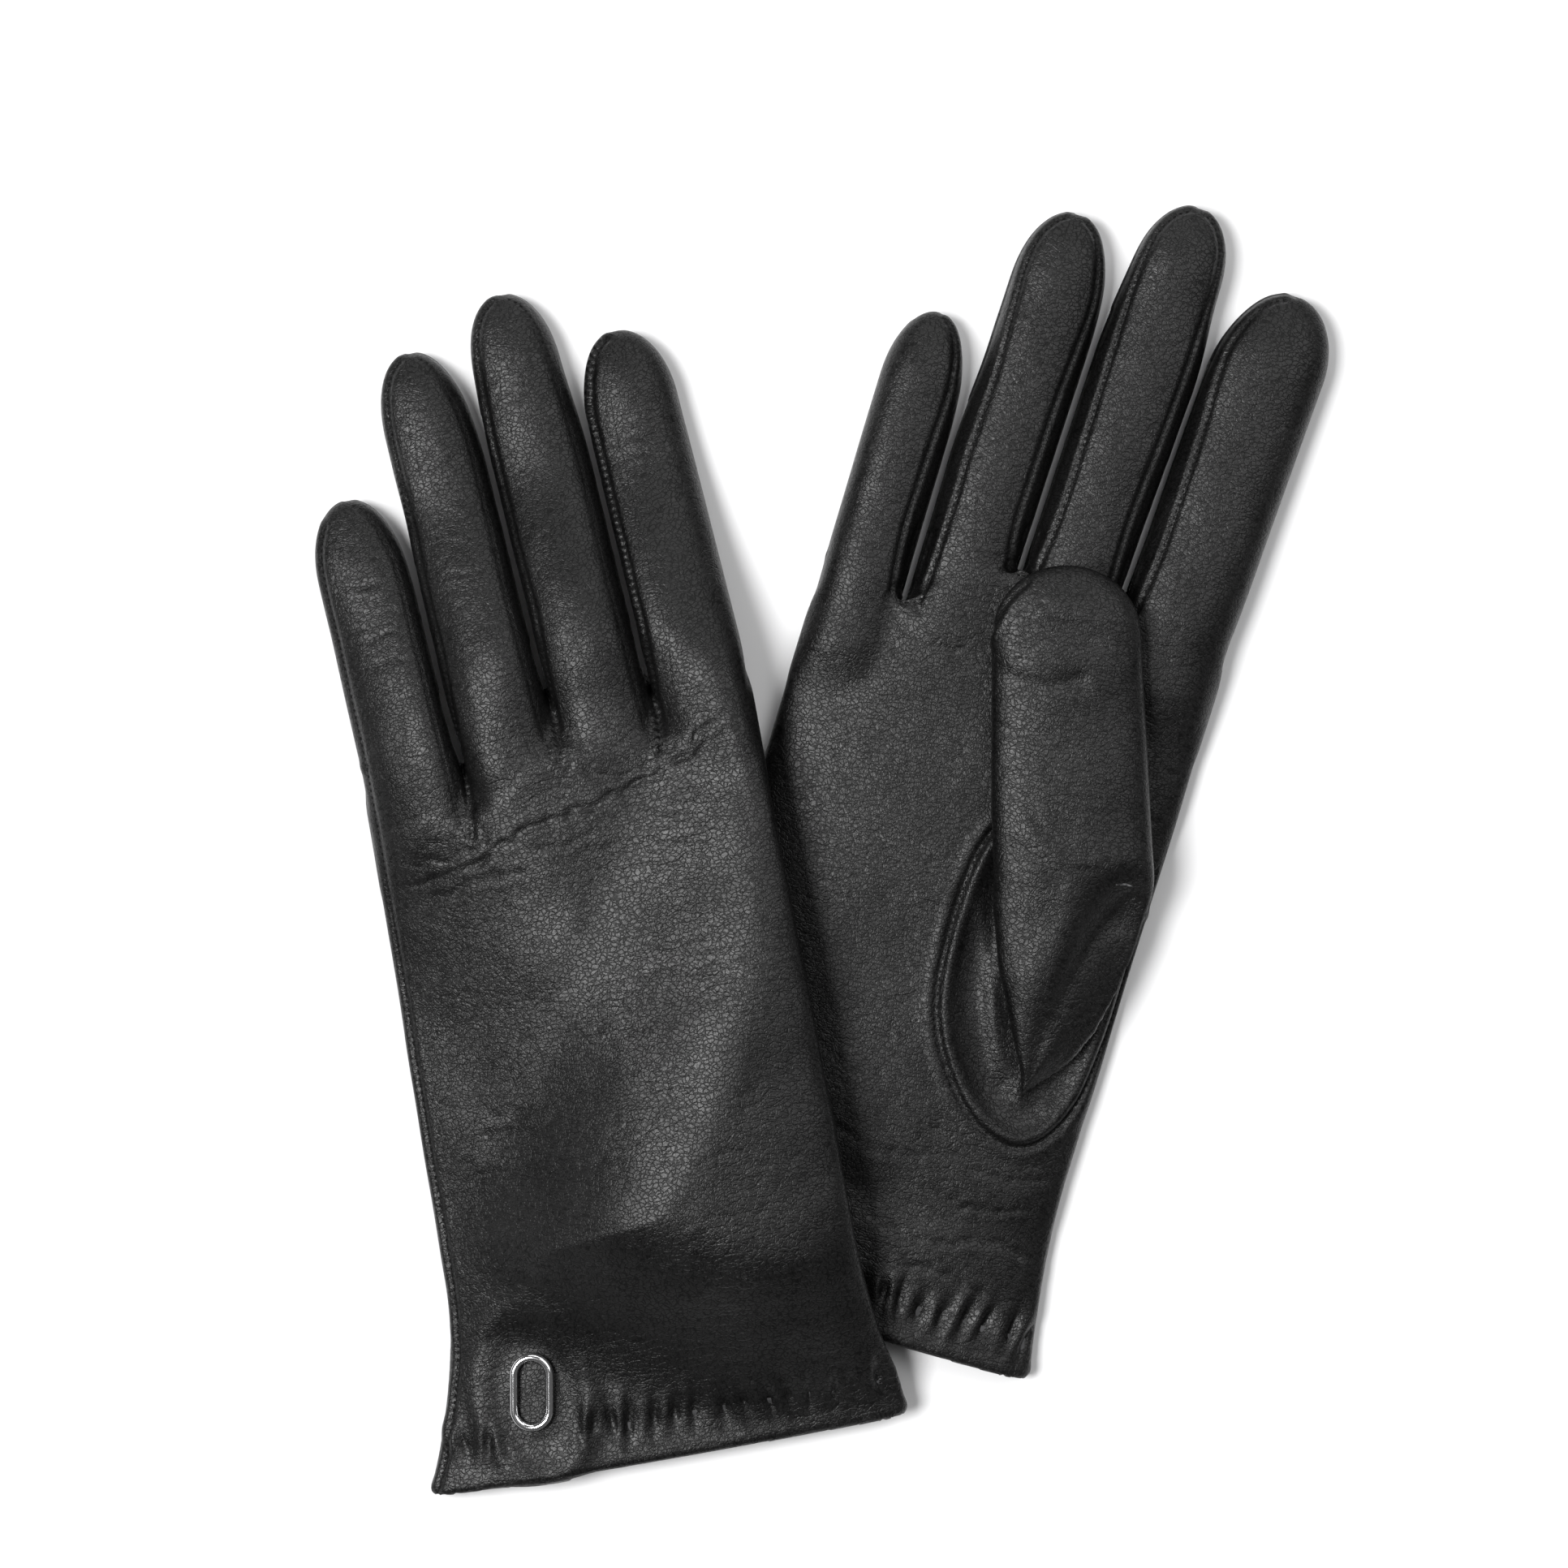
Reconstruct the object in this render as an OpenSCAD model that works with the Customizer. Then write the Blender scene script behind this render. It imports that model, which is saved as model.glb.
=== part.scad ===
// A pair of lined leather gloves, laid flat: the right glove palm up on the table, the left glove
// back up and draped over it, each with its thumb folded over its palm. Lengths are in millimetres,
// angles in degrees. The origin is on the table, under the middle of the pair.

/* [Hand] */
// Hem to the root of the middle finger
hand_length = 163; // [130:1:200]
// How much nearer to the hem the little, ring, middle and index fingers start
knuckle_drop = [13, 4, 0, 4]; // [0:0.5:20]
// Width of the glove at the wrist
wrist_w = 84; // [72:1:100]
// Width of the flared cuff at its hem
cuff_w = 100; // [84:1:120]
// Length of the flare, from the hem to the wrist
flare_length = 42; // [25:1:60]
// How far the hem leans towards the little finger's side
cuff_shift = 3; // [0:0.5:6]
// Thickness of the laid glove at the hem
cuff_t = 9.8; // [9:0.1:12]
// Thickness of the laid glove over the palm
palm_t = 10.8; // [10:0.1:14]
// Thickness of the laid glove at the knuckles
knuckle_t = 12.4; // [11:0.1:16]

/* [Fingers] */
// Left glove: widths of the little, ring, middle and index fingers
left_finger_w = [19.5, 19, 19.5, 20]; // [15:0.5:26]
// Right glove: widths of the little, ring, middle and index fingers
right_finger_w = [17.5, 20, 20.5, 23.5]; // [15:0.5:28]
// Lengths of the little, ring, middle and index fingers
finger_length = [54, 72.5, 77, 69.5]; // [40:0.5:100]
// Thickness of the fingers at their roots
finger_t = 12.4; // [11:0.1:16]
// Length of a finger's rounded end
tip_length = 12; // [8:0.5:16]
// Space between two fingers at their roots
finger_gap = 1; // [0.6:0.1:4]
// Left glove: how far each finger leans towards the index finger's side
left_lean = [-4, -4.8, -4.4, -3.8]; // [-8:0.1:8]
// Right glove: how far each finger leans towards the index finger's side
right_lean = [-1, 0.4, 2, 3.4]; // [-8:0.1:8]

/* [Thumb] */
// Length of the thumb beyond the crease it folds at
thumb_length = 59; // [44:1:60]
// Width of the thumb at its crease
thumb_w = 33; // [26:0.5:38]
// Thickness of the laid thumb
thumb_t = 9; // [8:0.1:12]
// How far the crease is above the hem
thumb_crease = 103; // [96:1:108]
// How far the middle of the crease is from the middle of the palm
thumb_offset = 24; // [18:0.5:26]
// How far the folded thumb leans across the palm
thumb_lean = 18.5; // [12:0.5:20]
// Length of the thumb's sewn-in root, below the crease
thumb_root = 55; // [40:1:60]
// Half the width and half the length of the hole under the thumb's root
thumb_hole = [10, 14]; // [6:0.5:16]

/* [Materials] */
// Thickness of the leather
leather_t = 0.9; // [0.7:0.05:1.1]
// Thickness of the knitted lining
lining_t = 0.7; // [0.5:0.05:0.9]
// Room between the leather and the lining of the hand
hand_room = 0.7; // [0.65:0.05:0.9]
// Depth of the leather facing inside the cuff
facing_depth = 16; // [13:0.5:20]
// Width of the elastic in the cuff
elastic_w = 5; // [3:0.5:5.5]
// Thickness of the elastic
elastic_t = 0.45; // [0.3:0.05:0.5]
// Distance of the elastic from the hem
elastic_v = 4.2; // [3:0.1:4.5]
// Width of the side strips between the fingers
fourchette_w = 6.4; // [4:0.2:7]

/* [Ornament] */
// Length of the oval ring
ring_length = 16; // [13:0.5:19]
// Width of the oval ring
ring_w = 9; // [7:0.5:12]
// Diameter of the ring's wire
wire_d = 1.7; // [1.2:0.1:2]
// Diameter of the two prongs
prong_d = 1.2; // [0.8:0.1:1.4]
// Centre of the ring: from the middle of the palm, and from the hem
ring_at = [-28, 18.5]; // [-32:0.5:20]

/* [Laying out] */
// Position of the left glove's hem
left_at = [-28.2, -123]; // [-140:0.1:140]
// Turn of the left glove
left_turn = 10; // [0:0.5:20]
// Position of the right glove's hem
right_at = [-2.8, -95]; // [-140:0.1:140]
// Turn of the right glove
right_turn = -17; // [-25:0.5:-10]
// Space between pieces that move apart
clearance = 0.4; // [0.3:0.05:0.6]
// Space between pieces that are sewn together
seam_gap = 0.12; // [0.08:0.01:0.15]

/* [Hidden] */
LEFT = 0;
RIGHT = 1;
FINGERS = ["pinky", "ring", "middle", "index"];
PINKY = 0;
INDEX = 3;

hand_sides = 28;            // facets around a hand
finger_sides = 16;          // facets around a finger
crown = 2.4;                // roundness of the upper half of a section
belly = 4;                  // roundness of the lower half, which lies flat
centre_share = 0.42;        // height of a section's widest line, as a share of its thickness
flat_share = 0.03;          // what the table flattens, as a share of the thickness
finger_taper = 0.07;        // share of its width that a finger loses up to its tip
thumb_taper = 0.1;          // share of its width that the thumb loses up to its tip
thin_taper = 0.1;           // share of its thickness that a finger loses up to its tip
skew_length = 16;           // length over which a slanted root straightens
hem_places = [elastic_v, elastic_v + elastic_w, facing_depth, facing_depth + clearance];
hand_steps = [0, each hem_places / hand_length, 0.15, 0.2, 0.26, 0.33, 0.4, 0.48, 0.56, 0.64, 0.72, 0.8, 0.9, 1];
finger_steps = [0, 0.1, 0.3, 0.55, 0.8, 1];
tip_angles = [32, 58, 78];
root_steps = [1, 0.8, 0.6, 0.4, 0.22, 0.1];
body_offset = leather_t + seam_gap;                 // outside of whatever lies against the leather
hand_offset = leather_t + hand_room;                // outside of the hand's lining and facing
fourchette_reach = 0.84;    // share of the finger that its side strips run along
edge_drape = 40;            // width over which the left glove comes down from the right one
edge_inside = 15;           // how far inside the right glove's edge the drape begins
thumb_drape = 44;           // width over which a palm comes down from the thumb under it
thumb_ledge = 4;            // how far from the thumb the palm starts to come down
washer_t = 0.2;             // thickness of the ornament's washers
washer_d = 3;               // diameter of the ornament's washers
washer_share = 0.5;         // how far into the room under the leather the washers are
leather = [0.06, 0.06, 0.065];
knit = [0.1, 0.1, 0.11];
webbing = [0.16, 0.16, 0.17];
silver = [0.8, 0.8, 0.82];

function smooth(x) = let (t = max(0, min(1, x))) t * t * (3 - 2 * t);
function finger_w(glove) = glove == LEFT ? left_finger_w : right_finger_w;
function lean(glove) = glove == LEFT ? left_lean : right_lean;
function total(list, n) = n == 0 ? 0 : list[n - 1] + total(list, n - 1);
function knuckle_w(glove) = total(finger_w(glove), 4) + 3 * finger_gap;
// Middle of a finger's root, across the palm
function root_u(glove, f) =
    -knuckle_w(glove) / 2 + total(finger_w(glove), f) + f * finger_gap + finger_w(glove)[f] / 2;
// Height of the knuckle line above the hem, at a place across the palm
function knuckle_v(glove, u) = lookup(u, [
    [-knuckle_w(glove) / 2, hand_length - knuckle_drop[0] - 2],
    for (f = [0:3]) [root_u(glove, f), hand_length - knuckle_drop[f]],
    [knuckle_w(glove) / 2, hand_length - knuckle_drop[3] - 3]
]);
function hand_half_w(glove, v) =
    wrist_w / 2 + (cuff_w - wrist_w) / 2 * pow(max(0, 1 - v / flare_length), 1.7)
    + (knuckle_w(glove) - wrist_w) / 2 * smooth((v - flare_length) / (hand_length - flare_length));
function hand_shift(v) = -cuff_shift * pow(max(0, 1 - v / flare_length), 1.7);
function hand_t(v) =
    cuff_t + (palm_t - cuff_t) * smooth(v / (0.6 * hand_length))
    + (knuckle_t - palm_t) * smooth((v - 0.7 * hand_length) / (0.3 * hand_length));

// A laid section: half-width a, thickness t, standing on z = 0
function section(a, t, sides) = [
    for (i = [0:sides - 1])
        let (c = cos(360 * i / sides), s = sin(360 * i / sides), up = s >= 0,
             e = up ? crown : belly,
             z = centre_share * t + (up ? (1 - centre_share) : centre_share) * t
                 * sign(s) * pow(abs(s), 2 / e))
            [a * sign(c) * pow(abs(c), 2 / e), max(z, flat_share * t) - flat_share * t]
];
function turn(glove) = glove == LEFT ? left_turn : right_turn;
function at(glove) = glove == LEFT ? left_at : right_at;
function to_table(glove, u, v) =
    at(glove) + [u * cos(turn(glove)) - v * sin(turn(glove)), u * sin(turn(glove)) + v * cos(turn(glove))];
function from_table(glove, p) =
    let (d = p - at(glove))
        [d.x * cos(turn(glove)) + d.y * sin(turn(glove)), d.y * cos(turn(glove)) - d.x * sin(turn(glove))];

// How high the right glove holds the left one at a place on the table
function held_by_glove(p) =
    let (q = from_table(RIGHT, p),
         du = hand_shift(q.y) - hand_half_w(RIGHT, max(0, q.y)) - q.x, dv = -q.y,
         d = max(du, dv) < 0 ? max(du, dv) : norm([max(0, du), max(0, dv)]))
        (palm_t + clearance) * smooth(1 - (d + edge_inside) / edge_drape);
function beyond(u, v, a, b, r) =
    let (p = [u, v], k = max(0, min(1, (p - a) * (b - a) / ((b - a) * (b - a)))))
        norm(p - a - k * (b - a)) - r;
function thumb_end() =
    [thumb_offset, thumb_crease] + (thumb_length - 0.4 * thumb_w) * [-sin(thumb_lean), cos(thumb_lean)];
// How high the folded thumb holds the left glove's palm
function held_by_thumb(u, v) =
    let (crease = [thumb_offset, thumb_crease],
         heel = crease - [0, max(1, thumb_root - thumb_w / 2)],
         d = min(beyond(u, v, crease, heel, thumb_w / 2), beyond(u, v, crease, thumb_end(), thumb_w / 2)))
        (thumb_t + 2 * clearance) * smooth(1 - (d - thumb_ledge) / thumb_drape);
// A point of the hand or a finger, w above the side that faces the table
function place(glove, u, v, w) =
    let (p = to_table(glove, u, v))
        [p.x, p.y, w + (glove == LEFT ? held_by_glove(p) + held_by_thumb(u, v) : 0)];
// A point of the thumb, w away from the palm that it lies on
function place_thumb(glove, u, v, w) =
    let (p = to_table(glove, u, v))
        [p.x, p.y, glove == LEFT ? held_by_glove(p) + thumb_t + clearance - w
                                 : hand_t(min(v, hand_length)) + clearance + w];

// Rings of points. "inset" is the distance in from the outside of the leather.
function hand_ring(glove, step, inset) =
    let (v0 = step * hand_length)
        [for (q = section(hand_half_w(glove, v0) - inset, hand_t(v0) - 2 * inset, hand_sides))
            let (u = q.x + hand_shift(v0)) place(glove, u, step * knuckle_v(glove, u), q.y + inset)];
function hand_rings(glove, from, to, inset) =
    [for (step = [from, each [for (s = hand_steps) if (s > from + 0.001 && s < to - 0.001) s], to])
        hand_ring(glove, step, inset)];

// The upper side of a ring of points: how far across the hand each point is, and its height
function upper_side(glove, step, inset) =
    let (v0 = step * hand_length, t = hand_t(v0) - 2 * inset) [
        for (q = section(hand_half_w(glove, v0) - inset, t, hand_sides))
            if (q.y > (centre_share - flat_share) * t)
                let (u = q.x + hand_shift(v0)) [u, place(glove, u, step * knuckle_v(glove, u), q.y + inset).z]
    ];
// A place on the upper side of the hand, as its facets have it
function on_hand(glove, u, v, inset) =
    let (step = v / knuckle_v(glove, u),
         from = max([for (s = hand_steps) if (s <= step) s]), to = min([for (s = hand_steps) if (s > step) s]),
         low = lookup(u, upper_side(glove, from, inset)), high = lookup(u, upper_side(glove, to, inset)),
         p = to_table(glove, u, v))
        [p.x, p.y, low + (high - low) * (step - from) / (to - from)];

function finger_point(glove, f, x, s, w) =
    let (u0 = root_u(glove, f), a = lean(glove)[f], k = min(1, max(0, s) / skew_length),
         slant = (1 - k) * (knuckle_v(glove, u0 + x) - knuckle_v(glove, u0)))
        place(glove, u0 + x * cos(a) + s * sin(a),
              hand_length - knuckle_drop[f] + clearance + s * cos(a) - k * x * sin(a) + slant, w);
function finger_half_w(glove, f, s) = finger_w(glove)[f] / 2 * (1 - finger_taper * s / finger_length[f]);
function finger_thick(f, s) = finger_t * (1 - thin_taper * s / finger_length[f]);
function finger_ring(glove, f, s, shrink, inset) =
    let (t = finger_thick(f, s) - 2 * inset)
        [for (q = section((finger_half_w(glove, f, s) - inset) * shrink, t * shrink, finger_sides))
            finger_point(glove, f, q.x, s, q.y + inset + t * (1 - shrink) / 2)];
function finger_rings(glove, f, inset) =
    let (straight = finger_length[f] - tip_length) [
        for (k = finger_steps) finger_ring(glove, f, k * straight, 1, inset),
        for (a = tip_angles)
            finger_ring(glove, f, straight + (tip_length - inset) * sin(a), cos(a), inset)
    ];
function finger_pole(glove, f, inset) =
    let (s = finger_length[f] - inset) finger_point(glove, f, 0, s, finger_thick(f, s) / 2);

function thumb_point(glove, x, s, w) =
    place_thumb(glove, thumb_offset + x * cos(thumb_lean) - s * sin(thumb_lean),
                thumb_crease + x * sin(thumb_lean) + s * cos(thumb_lean), w);
function thumb_ring(glove, s, shrink, inset) =
    let (t = thumb_t - 2 * inset, a = thumb_w / 2 * (1 - thumb_taper * s / thumb_length) - inset)
        [for (q = section(a * shrink, t * shrink, finger_sides))
            thumb_point(glove, q.x, s, q.y + inset + t * (1 - shrink) / 2)];
function thumb_rings(glove, inset) =
    let (straight = thumb_length - tip_length) [
        for (k = finger_steps) thumb_ring(glove, clearance + k * (straight - clearance), 1, inset),
        for (a = tip_angles) thumb_ring(glove, straight + (tip_length - inset) * sin(a), cos(a), inset)
    ];
function thumb_pole(glove, inset) = thumb_point(glove, 0, thumb_length - inset, thumb_t / 2);

// The root narrows from the crease, k = 1, to its heel, k = 0, and turns straight as it does
function root_swell(k) = sqrt(1 - pow(1 - k, 2.4));
function root_ring(glove, k, inset) =
    let (a = thumb_w / 2 * root_swell(k) - inset, t = thumb_t * (0.3 + 0.7 * k) - 2 * inset,
         bend = thumb_lean * k, s = (1 - k) * thumb_root)
        [for (q = section(a, t, finger_sides))
            place_thumb(glove, thumb_offset + q.x * cos(bend),
                        thumb_crease - s + q.x * sin(bend), q.y + inset)];
function root_rings(glove, inset, least) = [for (k = root_steps) if (k >= least) root_ring(glove, k, inset)];
function root_pole(glove, k, w) = place_thumb(glove, thumb_offset, thumb_crease - (1 - k) * thumb_root, w);

// Faces of a skin through rings of n points, first point at "start", as triangles
function band(n, count, start) = [
    for (k = [0:count - 2], i = [0:n - 1])
        let (a = start + k * n + i, b = start + k * n + (i + 1) % n) each [[a, b, b + n], [a, b + n, a + n]]
];
function fan(n, start, pole) = [for (i = [0:n - 1]) [start + i, start + (i + 1) % n, pole]];
function rim(n, outer, inner) = [
    for (i = [0:n - 1])
        let (j = (i + 1) % n) each [[outer + j, outer + i, inner + i], [outer + j, inner + i, inner + j]]
];
function turned(faces) = [for (f = faces) [f[0], f[2], f[1]]];

// A tube with a wall, open at both ends
module tube(outer, inner) {
    n = len(outer[0]);
    half = n * len(outer);
    polyhedron(
        [for (r = outer) each r, for (r = inner) each r],
        [
            each band(n, len(outer), 0),
            each turned(band(n, len(inner), half)),
            each rim(n, 0, half),
            each turned(rim(n, half - n, half + n * (len(inner) - 1)))
        ]);
}
// A sleeve with a wall, open at its first ring and closed at its poles
module sleeve(outer, outer_pole, inner, inner_pole, mirrored = false) {
    n = len(outer[0]);
    half = n * len(outer);
    whole = half + n * len(inner);
    faces = [
        each band(n, len(outer), 0),
        each fan(n, half - n, whole),
        each turned(band(n, len(inner), half)),
        each turned(fan(n, whole - n, whole + 1)),
        each rim(n, 0, half)
    ];
    polyhedron([for (r = outer) each r, for (r = inner) each r, outer_pole, inner_pole],
               mirrored ? turned(faces) : faces);
}
// A solid bar through rings of points
module bar(rings) {
    n = len(rings[0]);
    last = n * (len(rings) - 1);
    polyhedron(
        [for (r = rings) each r],
        [
            each band(n, len(rings), 0),
            for (i = [1:n - 2]) each [[0, i + 1, i], [last, last + i, last + i + 1]]
        ]);
}

// The hole that joins the hand to the thumb's root. It goes through the palm's leather and lining
// and the root's leather.
module thumb_passage(glove) {
    low = glove == LEFT ? -(clearance + leather_t + 1.2) : 0.5 * palm_t;
    high = glove == LEFT ? 0.5 * palm_t : palm_t + clearance + leather_t + 1.2;
    rings = [
        for (w = [low, high]) [
            for (i = [0:15])
                place(glove, thumb_offset - 2 + thumb_hole.x * cos(360 * i / 16),
                      thumb_crease - 0.36 * thumb_root - thumb_hole.y * sin(360 * i / 16), w)
        ]
    ];
    bar(rings);
}

// A place on the left glove's back, counted from the ornament's middle, and "inset" into the glove
function near_ring(du, dv, inset = 0) = on_hand(LEFT, ring_at.x + du, ring_at.y + dv, inset);
// Which way the leather faces there, from points "reach" up and down the glove
function leather_normal(dv, reach) =
    let (n = cross(near_ring(2, dv) - near_ring(-2, dv), near_ring(0, dv + reach) - near_ring(0, dv - reach)))
        n / norm(n);
module square_on(spot, out)
    translate(spot) rotate(a = acos(out.z), v = cross([0, 0, 1], out)) children();
// Each prong ends between the leather and what lines it
function prong_v(end) = end * (ring_length - wire_d) / 2;
function prong_end(end) = near_ring(0, prong_v(end), leather_t + washer_share * hand_room);
module at_prong_end(end) square_on(prong_end(end), leather_normal(prong_v(end), washer_d / 2)) children();
// The ring lies on the highest leather that its wire passes over
ring_bend = (ring_w - wire_d) / 2;
ring_straight = (ring_length - ring_w) / 2;
ring_normal = leather_normal(0, ring_length / 2);
ring_middle = near_ring(0, 0) + ring_normal * (seam_gap + wire_d / 2 + max([
    for (a = [0:15:345])
        (near_ring(ring_bend * cos(a), ring_straight * sign(sin(a)) + ring_bend * sin(a)) - near_ring(0, 0))
            * ring_normal
]));
// Both prongs, from their ends up to the ring's wire
module prongs(d, longer = 0)
    for (end = [-1, 1])
        at_prong_end(end) translate([0, 0, -washer_t / 2 - longer])
            cylinder(d = d, h = (ring_middle - prong_end(end)) * ring_normal + washer_t / 2 + 2 * longer, $fn = 32);

module hand_shell(glove)
    color(leather)
        difference() {
            tube(hand_rings(glove, 0, 1, 0), hand_rings(glove, 0, 1, leather_t));
            thumb_passage(glove);
            if (glove == LEFT)
                prongs(prong_d + 2 * seam_gap);
        }

module cuff_facing(glove)
    color(leather)
        tube(hand_rings(glove, 0, facing_depth / hand_length, hand_offset),
             hand_rings(glove, 0, facing_depth / hand_length, hand_offset + lining_t));

module wrist_elastic(glove) {
    from = elastic_v / hand_length;
    to = (elastic_v + elastic_w) / hand_length;
    color(webbing)
        tube(hand_rings(glove, from, to, body_offset), hand_rings(glove, from, to, body_offset + elastic_t));
}

module hand_lining(glove) {
    from = (facing_depth + clearance) / hand_length;
    color(knit)
        difference() {
            tube(hand_rings(glove, from, 1, hand_offset), hand_rings(glove, from, 1, hand_offset + lining_t));
            thumb_passage(glove);
        }
}

module finger_skin(glove, f)
    sleeve(finger_rings(glove, f, 0), finger_pole(glove, f, 0),
           finger_rings(glove, f, leather_t), finger_pole(glove, f, leather_t));

// Where a finger has side strips: on each side that faces another finger
function strip_sides(f) = f == PINKY ? [1] : f == INDEX ? [-1] : [-1, 1];
module strips(glove, f, gap) {
    reach = fourchette_reach * finger_length[f];
    steps = [-2 * clearance - skew_length / 2, 0, 0.1 * reach, 0.35 * reach, 0.65 * reach, reach + gap];
    for (side = strip_sides(f))
        bar([
            for (s = steps)
                let (a = finger_half_w(glove, f, max(0, s)),
                     h = fourchette_w / 2 * (1 - 0.5 * max(0, s) / reach) + gap,
                     mid = (centre_share + 0.03) * finger_thick(f, max(0, s)),
                     near = side > 0 ? 0.45 * a : -a - 3, far = side > 0 ? a + 3 : -0.45 * a)
                    [for (q = [[far, -h], [far, h], [near, h], [near, -h]])
                        finger_point(glove, f, q.x, s, mid + q.y)]
        ]);
}
module finger_sleeve(glove, f)
    color(leather)
        difference() {
            finger_skin(glove, f);
            strips(glove, f, seam_gap);
        }
module finger_fourchettes(glove, f)
    color(leather)
        intersection() {
            finger_skin(glove, f);
            strips(glove, f, 0);
        }
module finger_lining(glove, f)
    color(knit)
        sleeve(finger_rings(glove, f, body_offset), finger_pole(glove, f, body_offset),
               finger_rings(glove, f, body_offset + lining_t), finger_pole(glove, f, body_offset + lining_t));

module thumb_base(glove)
    color(leather)
        difference() {
            sleeve(root_rings(glove, 0, 0), root_pole(glove, 0, 0.15 * thumb_t),
                   root_rings(glove, leather_t, 0.3), root_pole(glove, 0.2, 0.25 * thumb_t), glove == RIGHT);
            thumb_passage(glove);
        }
module thumb_sleeve(glove)
    color(leather)
        sleeve(thumb_rings(glove, 0), thumb_pole(glove, 0),
               thumb_rings(glove, leather_t), thumb_pole(glove, leather_t), glove == LEFT);
module thumb_lining(glove)
    color(knit)
        sleeve(thumb_rings(glove, body_offset), thumb_pole(glove, body_offset),
               thumb_rings(glove, body_offset + lining_t), thumb_pole(glove, body_offset + lining_t),
               glove == LEFT);

// A plain oval ring of round wire, with two prongs that pass through the leather
module ornament_ring()
    color(silver) {
        square_on(ring_middle, ring_normal)
            for (end = [-1, 1]) {
                translate([0, end * ring_straight, 0]) rotate([0, 0, end < 0 ? 180 : 0])
                    rotate_extrude(angle = 180, $fn = 48) translate([ring_bend, 0]) circle(d = wire_d, $fn = 32);
                translate([end * ring_bend, -ring_straight, 0]) rotate([-90, 0, 0])
                    cylinder(d = wire_d, h = 2 * ring_straight, $fn = 32);
            }
        prongs(prong_d);
    }
// The washers inside the leather that the prongs are clinched over
module ornament_washers()
    color(silver)
        difference() {
            for (end = [-1, 1])
                at_prong_end(end) translate([0, 0, -washer_t / 2])
                    cylinder(d = washer_d, h = washer_t, $fn = 32);
            prongs(prong_d + 2 * seam_gap, washer_t);
        }

for (glove = [LEFT, RIGHT]) {
    side = glove == LEFT ? "left" : "right";
    hand_shell(glove);
    cuff_facing(glove);
    wrist_elastic(glove);
    hand_lining(glove);
    thumb_base(glove);
    thumb_sleeve(glove);
    thumb_lining(glove);
    for (f = [0:3]) {
        finger_sleeve(glove, f);
        finger_fourchettes(glove, f);
        finger_lining(glove, f);
    }
}
ornament_ring();
ornament_washers();
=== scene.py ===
"""Looks for a pair of lined leather gloves that lie on a table: the right glove palm up, the left
glove back up and draped over it, each with its thumb folded over its palm.

A glove is shaped in its own flat frame, in millimetres: u runs across the palm from the little finger's
side to the index finger's, v from the hem to the fingertips, and h is the height off the table. Each
skin is the zero surface of a field on a grid. Its seams, creases and gathers are then pressed into the
mesh, and last it is turned to where the CAD model has it.
"""

import math

import bpy
import numpy as np
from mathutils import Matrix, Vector
from mathutils.bvhtree import BVHTree


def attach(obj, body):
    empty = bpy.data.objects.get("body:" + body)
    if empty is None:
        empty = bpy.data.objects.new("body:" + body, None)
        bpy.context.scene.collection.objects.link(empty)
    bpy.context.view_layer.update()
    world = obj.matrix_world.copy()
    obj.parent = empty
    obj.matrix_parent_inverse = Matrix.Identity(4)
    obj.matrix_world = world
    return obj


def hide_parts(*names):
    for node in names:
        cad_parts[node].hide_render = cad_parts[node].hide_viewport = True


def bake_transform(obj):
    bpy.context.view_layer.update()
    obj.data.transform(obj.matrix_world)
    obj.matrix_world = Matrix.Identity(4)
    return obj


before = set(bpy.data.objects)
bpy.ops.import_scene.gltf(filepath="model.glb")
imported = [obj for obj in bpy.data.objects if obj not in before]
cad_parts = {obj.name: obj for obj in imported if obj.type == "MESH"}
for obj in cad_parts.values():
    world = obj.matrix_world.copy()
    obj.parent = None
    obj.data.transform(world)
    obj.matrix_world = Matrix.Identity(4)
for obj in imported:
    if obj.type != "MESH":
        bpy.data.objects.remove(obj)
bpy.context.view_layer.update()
MM = 0.001

# ---------------------------------------------------------------- sizes, as the CAD model has them, in mm
FINGERS = ("pinky", "ring", "middle", "index")
HAND_LENGTH = 163.0
KNUCKLE_DROP = (13.0, 4.0, 0.0, 4.0)
WRIST_W, CUFF_W, FLARE_LENGTH, CUFF_SHIFT = 84.0, 100.0, 42.0, 3.0
CUFF_T, PALM_T, KNUCKLE_T = 9.8, 10.8, 12.4
FINGER_LENGTH = (54.0, 72.5, 77.0, 69.5)
FINGER_T, FINGER_GAP = 12.4, 1.0
THUMB_LENGTH, THUMB_W, THUMB_T = 59.0, 33.0, 9.0
THUMB_CREASE, THUMB_OFFSET, THUMB_LEAN, THUMB_ROOT = 103.0, 24.0, math.radians(18.5), 55.0
CLEARANCE = 0.4
EDGE_DRAPE, EDGE_INSIDE, THUMB_DRAPE, THUMB_LEDGE = 40.0, 15.0, 44.0, 4.0
CENTRE_SHARE, FLAT_SHARE, CROWN, BELLY = 0.42, 0.03, 2.4, 4.0
FACING_DEPTH = 16.0
RING_AT, RING_SIZE = (-28.0, 18.5), (9.0, 16.0)
GLOVES = {
    "left": dict(at=(-28.2, -123.0), turn=math.radians(10), widths=(19.5, 19.0, 19.5, 20.0),
                 leans=(-4.0, -4.8, -4.4, -3.8), back_up=True),
    "right": dict(at=(-2.8, -95.0), turn=math.radians(-17), widths=(17.5, 20.0, 20.5, 23.5),
                  leans=(-1.0, 0.4, 2.0, 3.4), back_up=False),
}
GRID = 0.6                  # grid step of the skins
WALL = 2.0                  # leather, facing and lining at the hem
SIDE_WALL = 1.6 * WALL      # and at its two sides
LINING_WALLS = (1.3, 2.0)   # how far in from the leather's outside a finger's lining starts and ends
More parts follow.
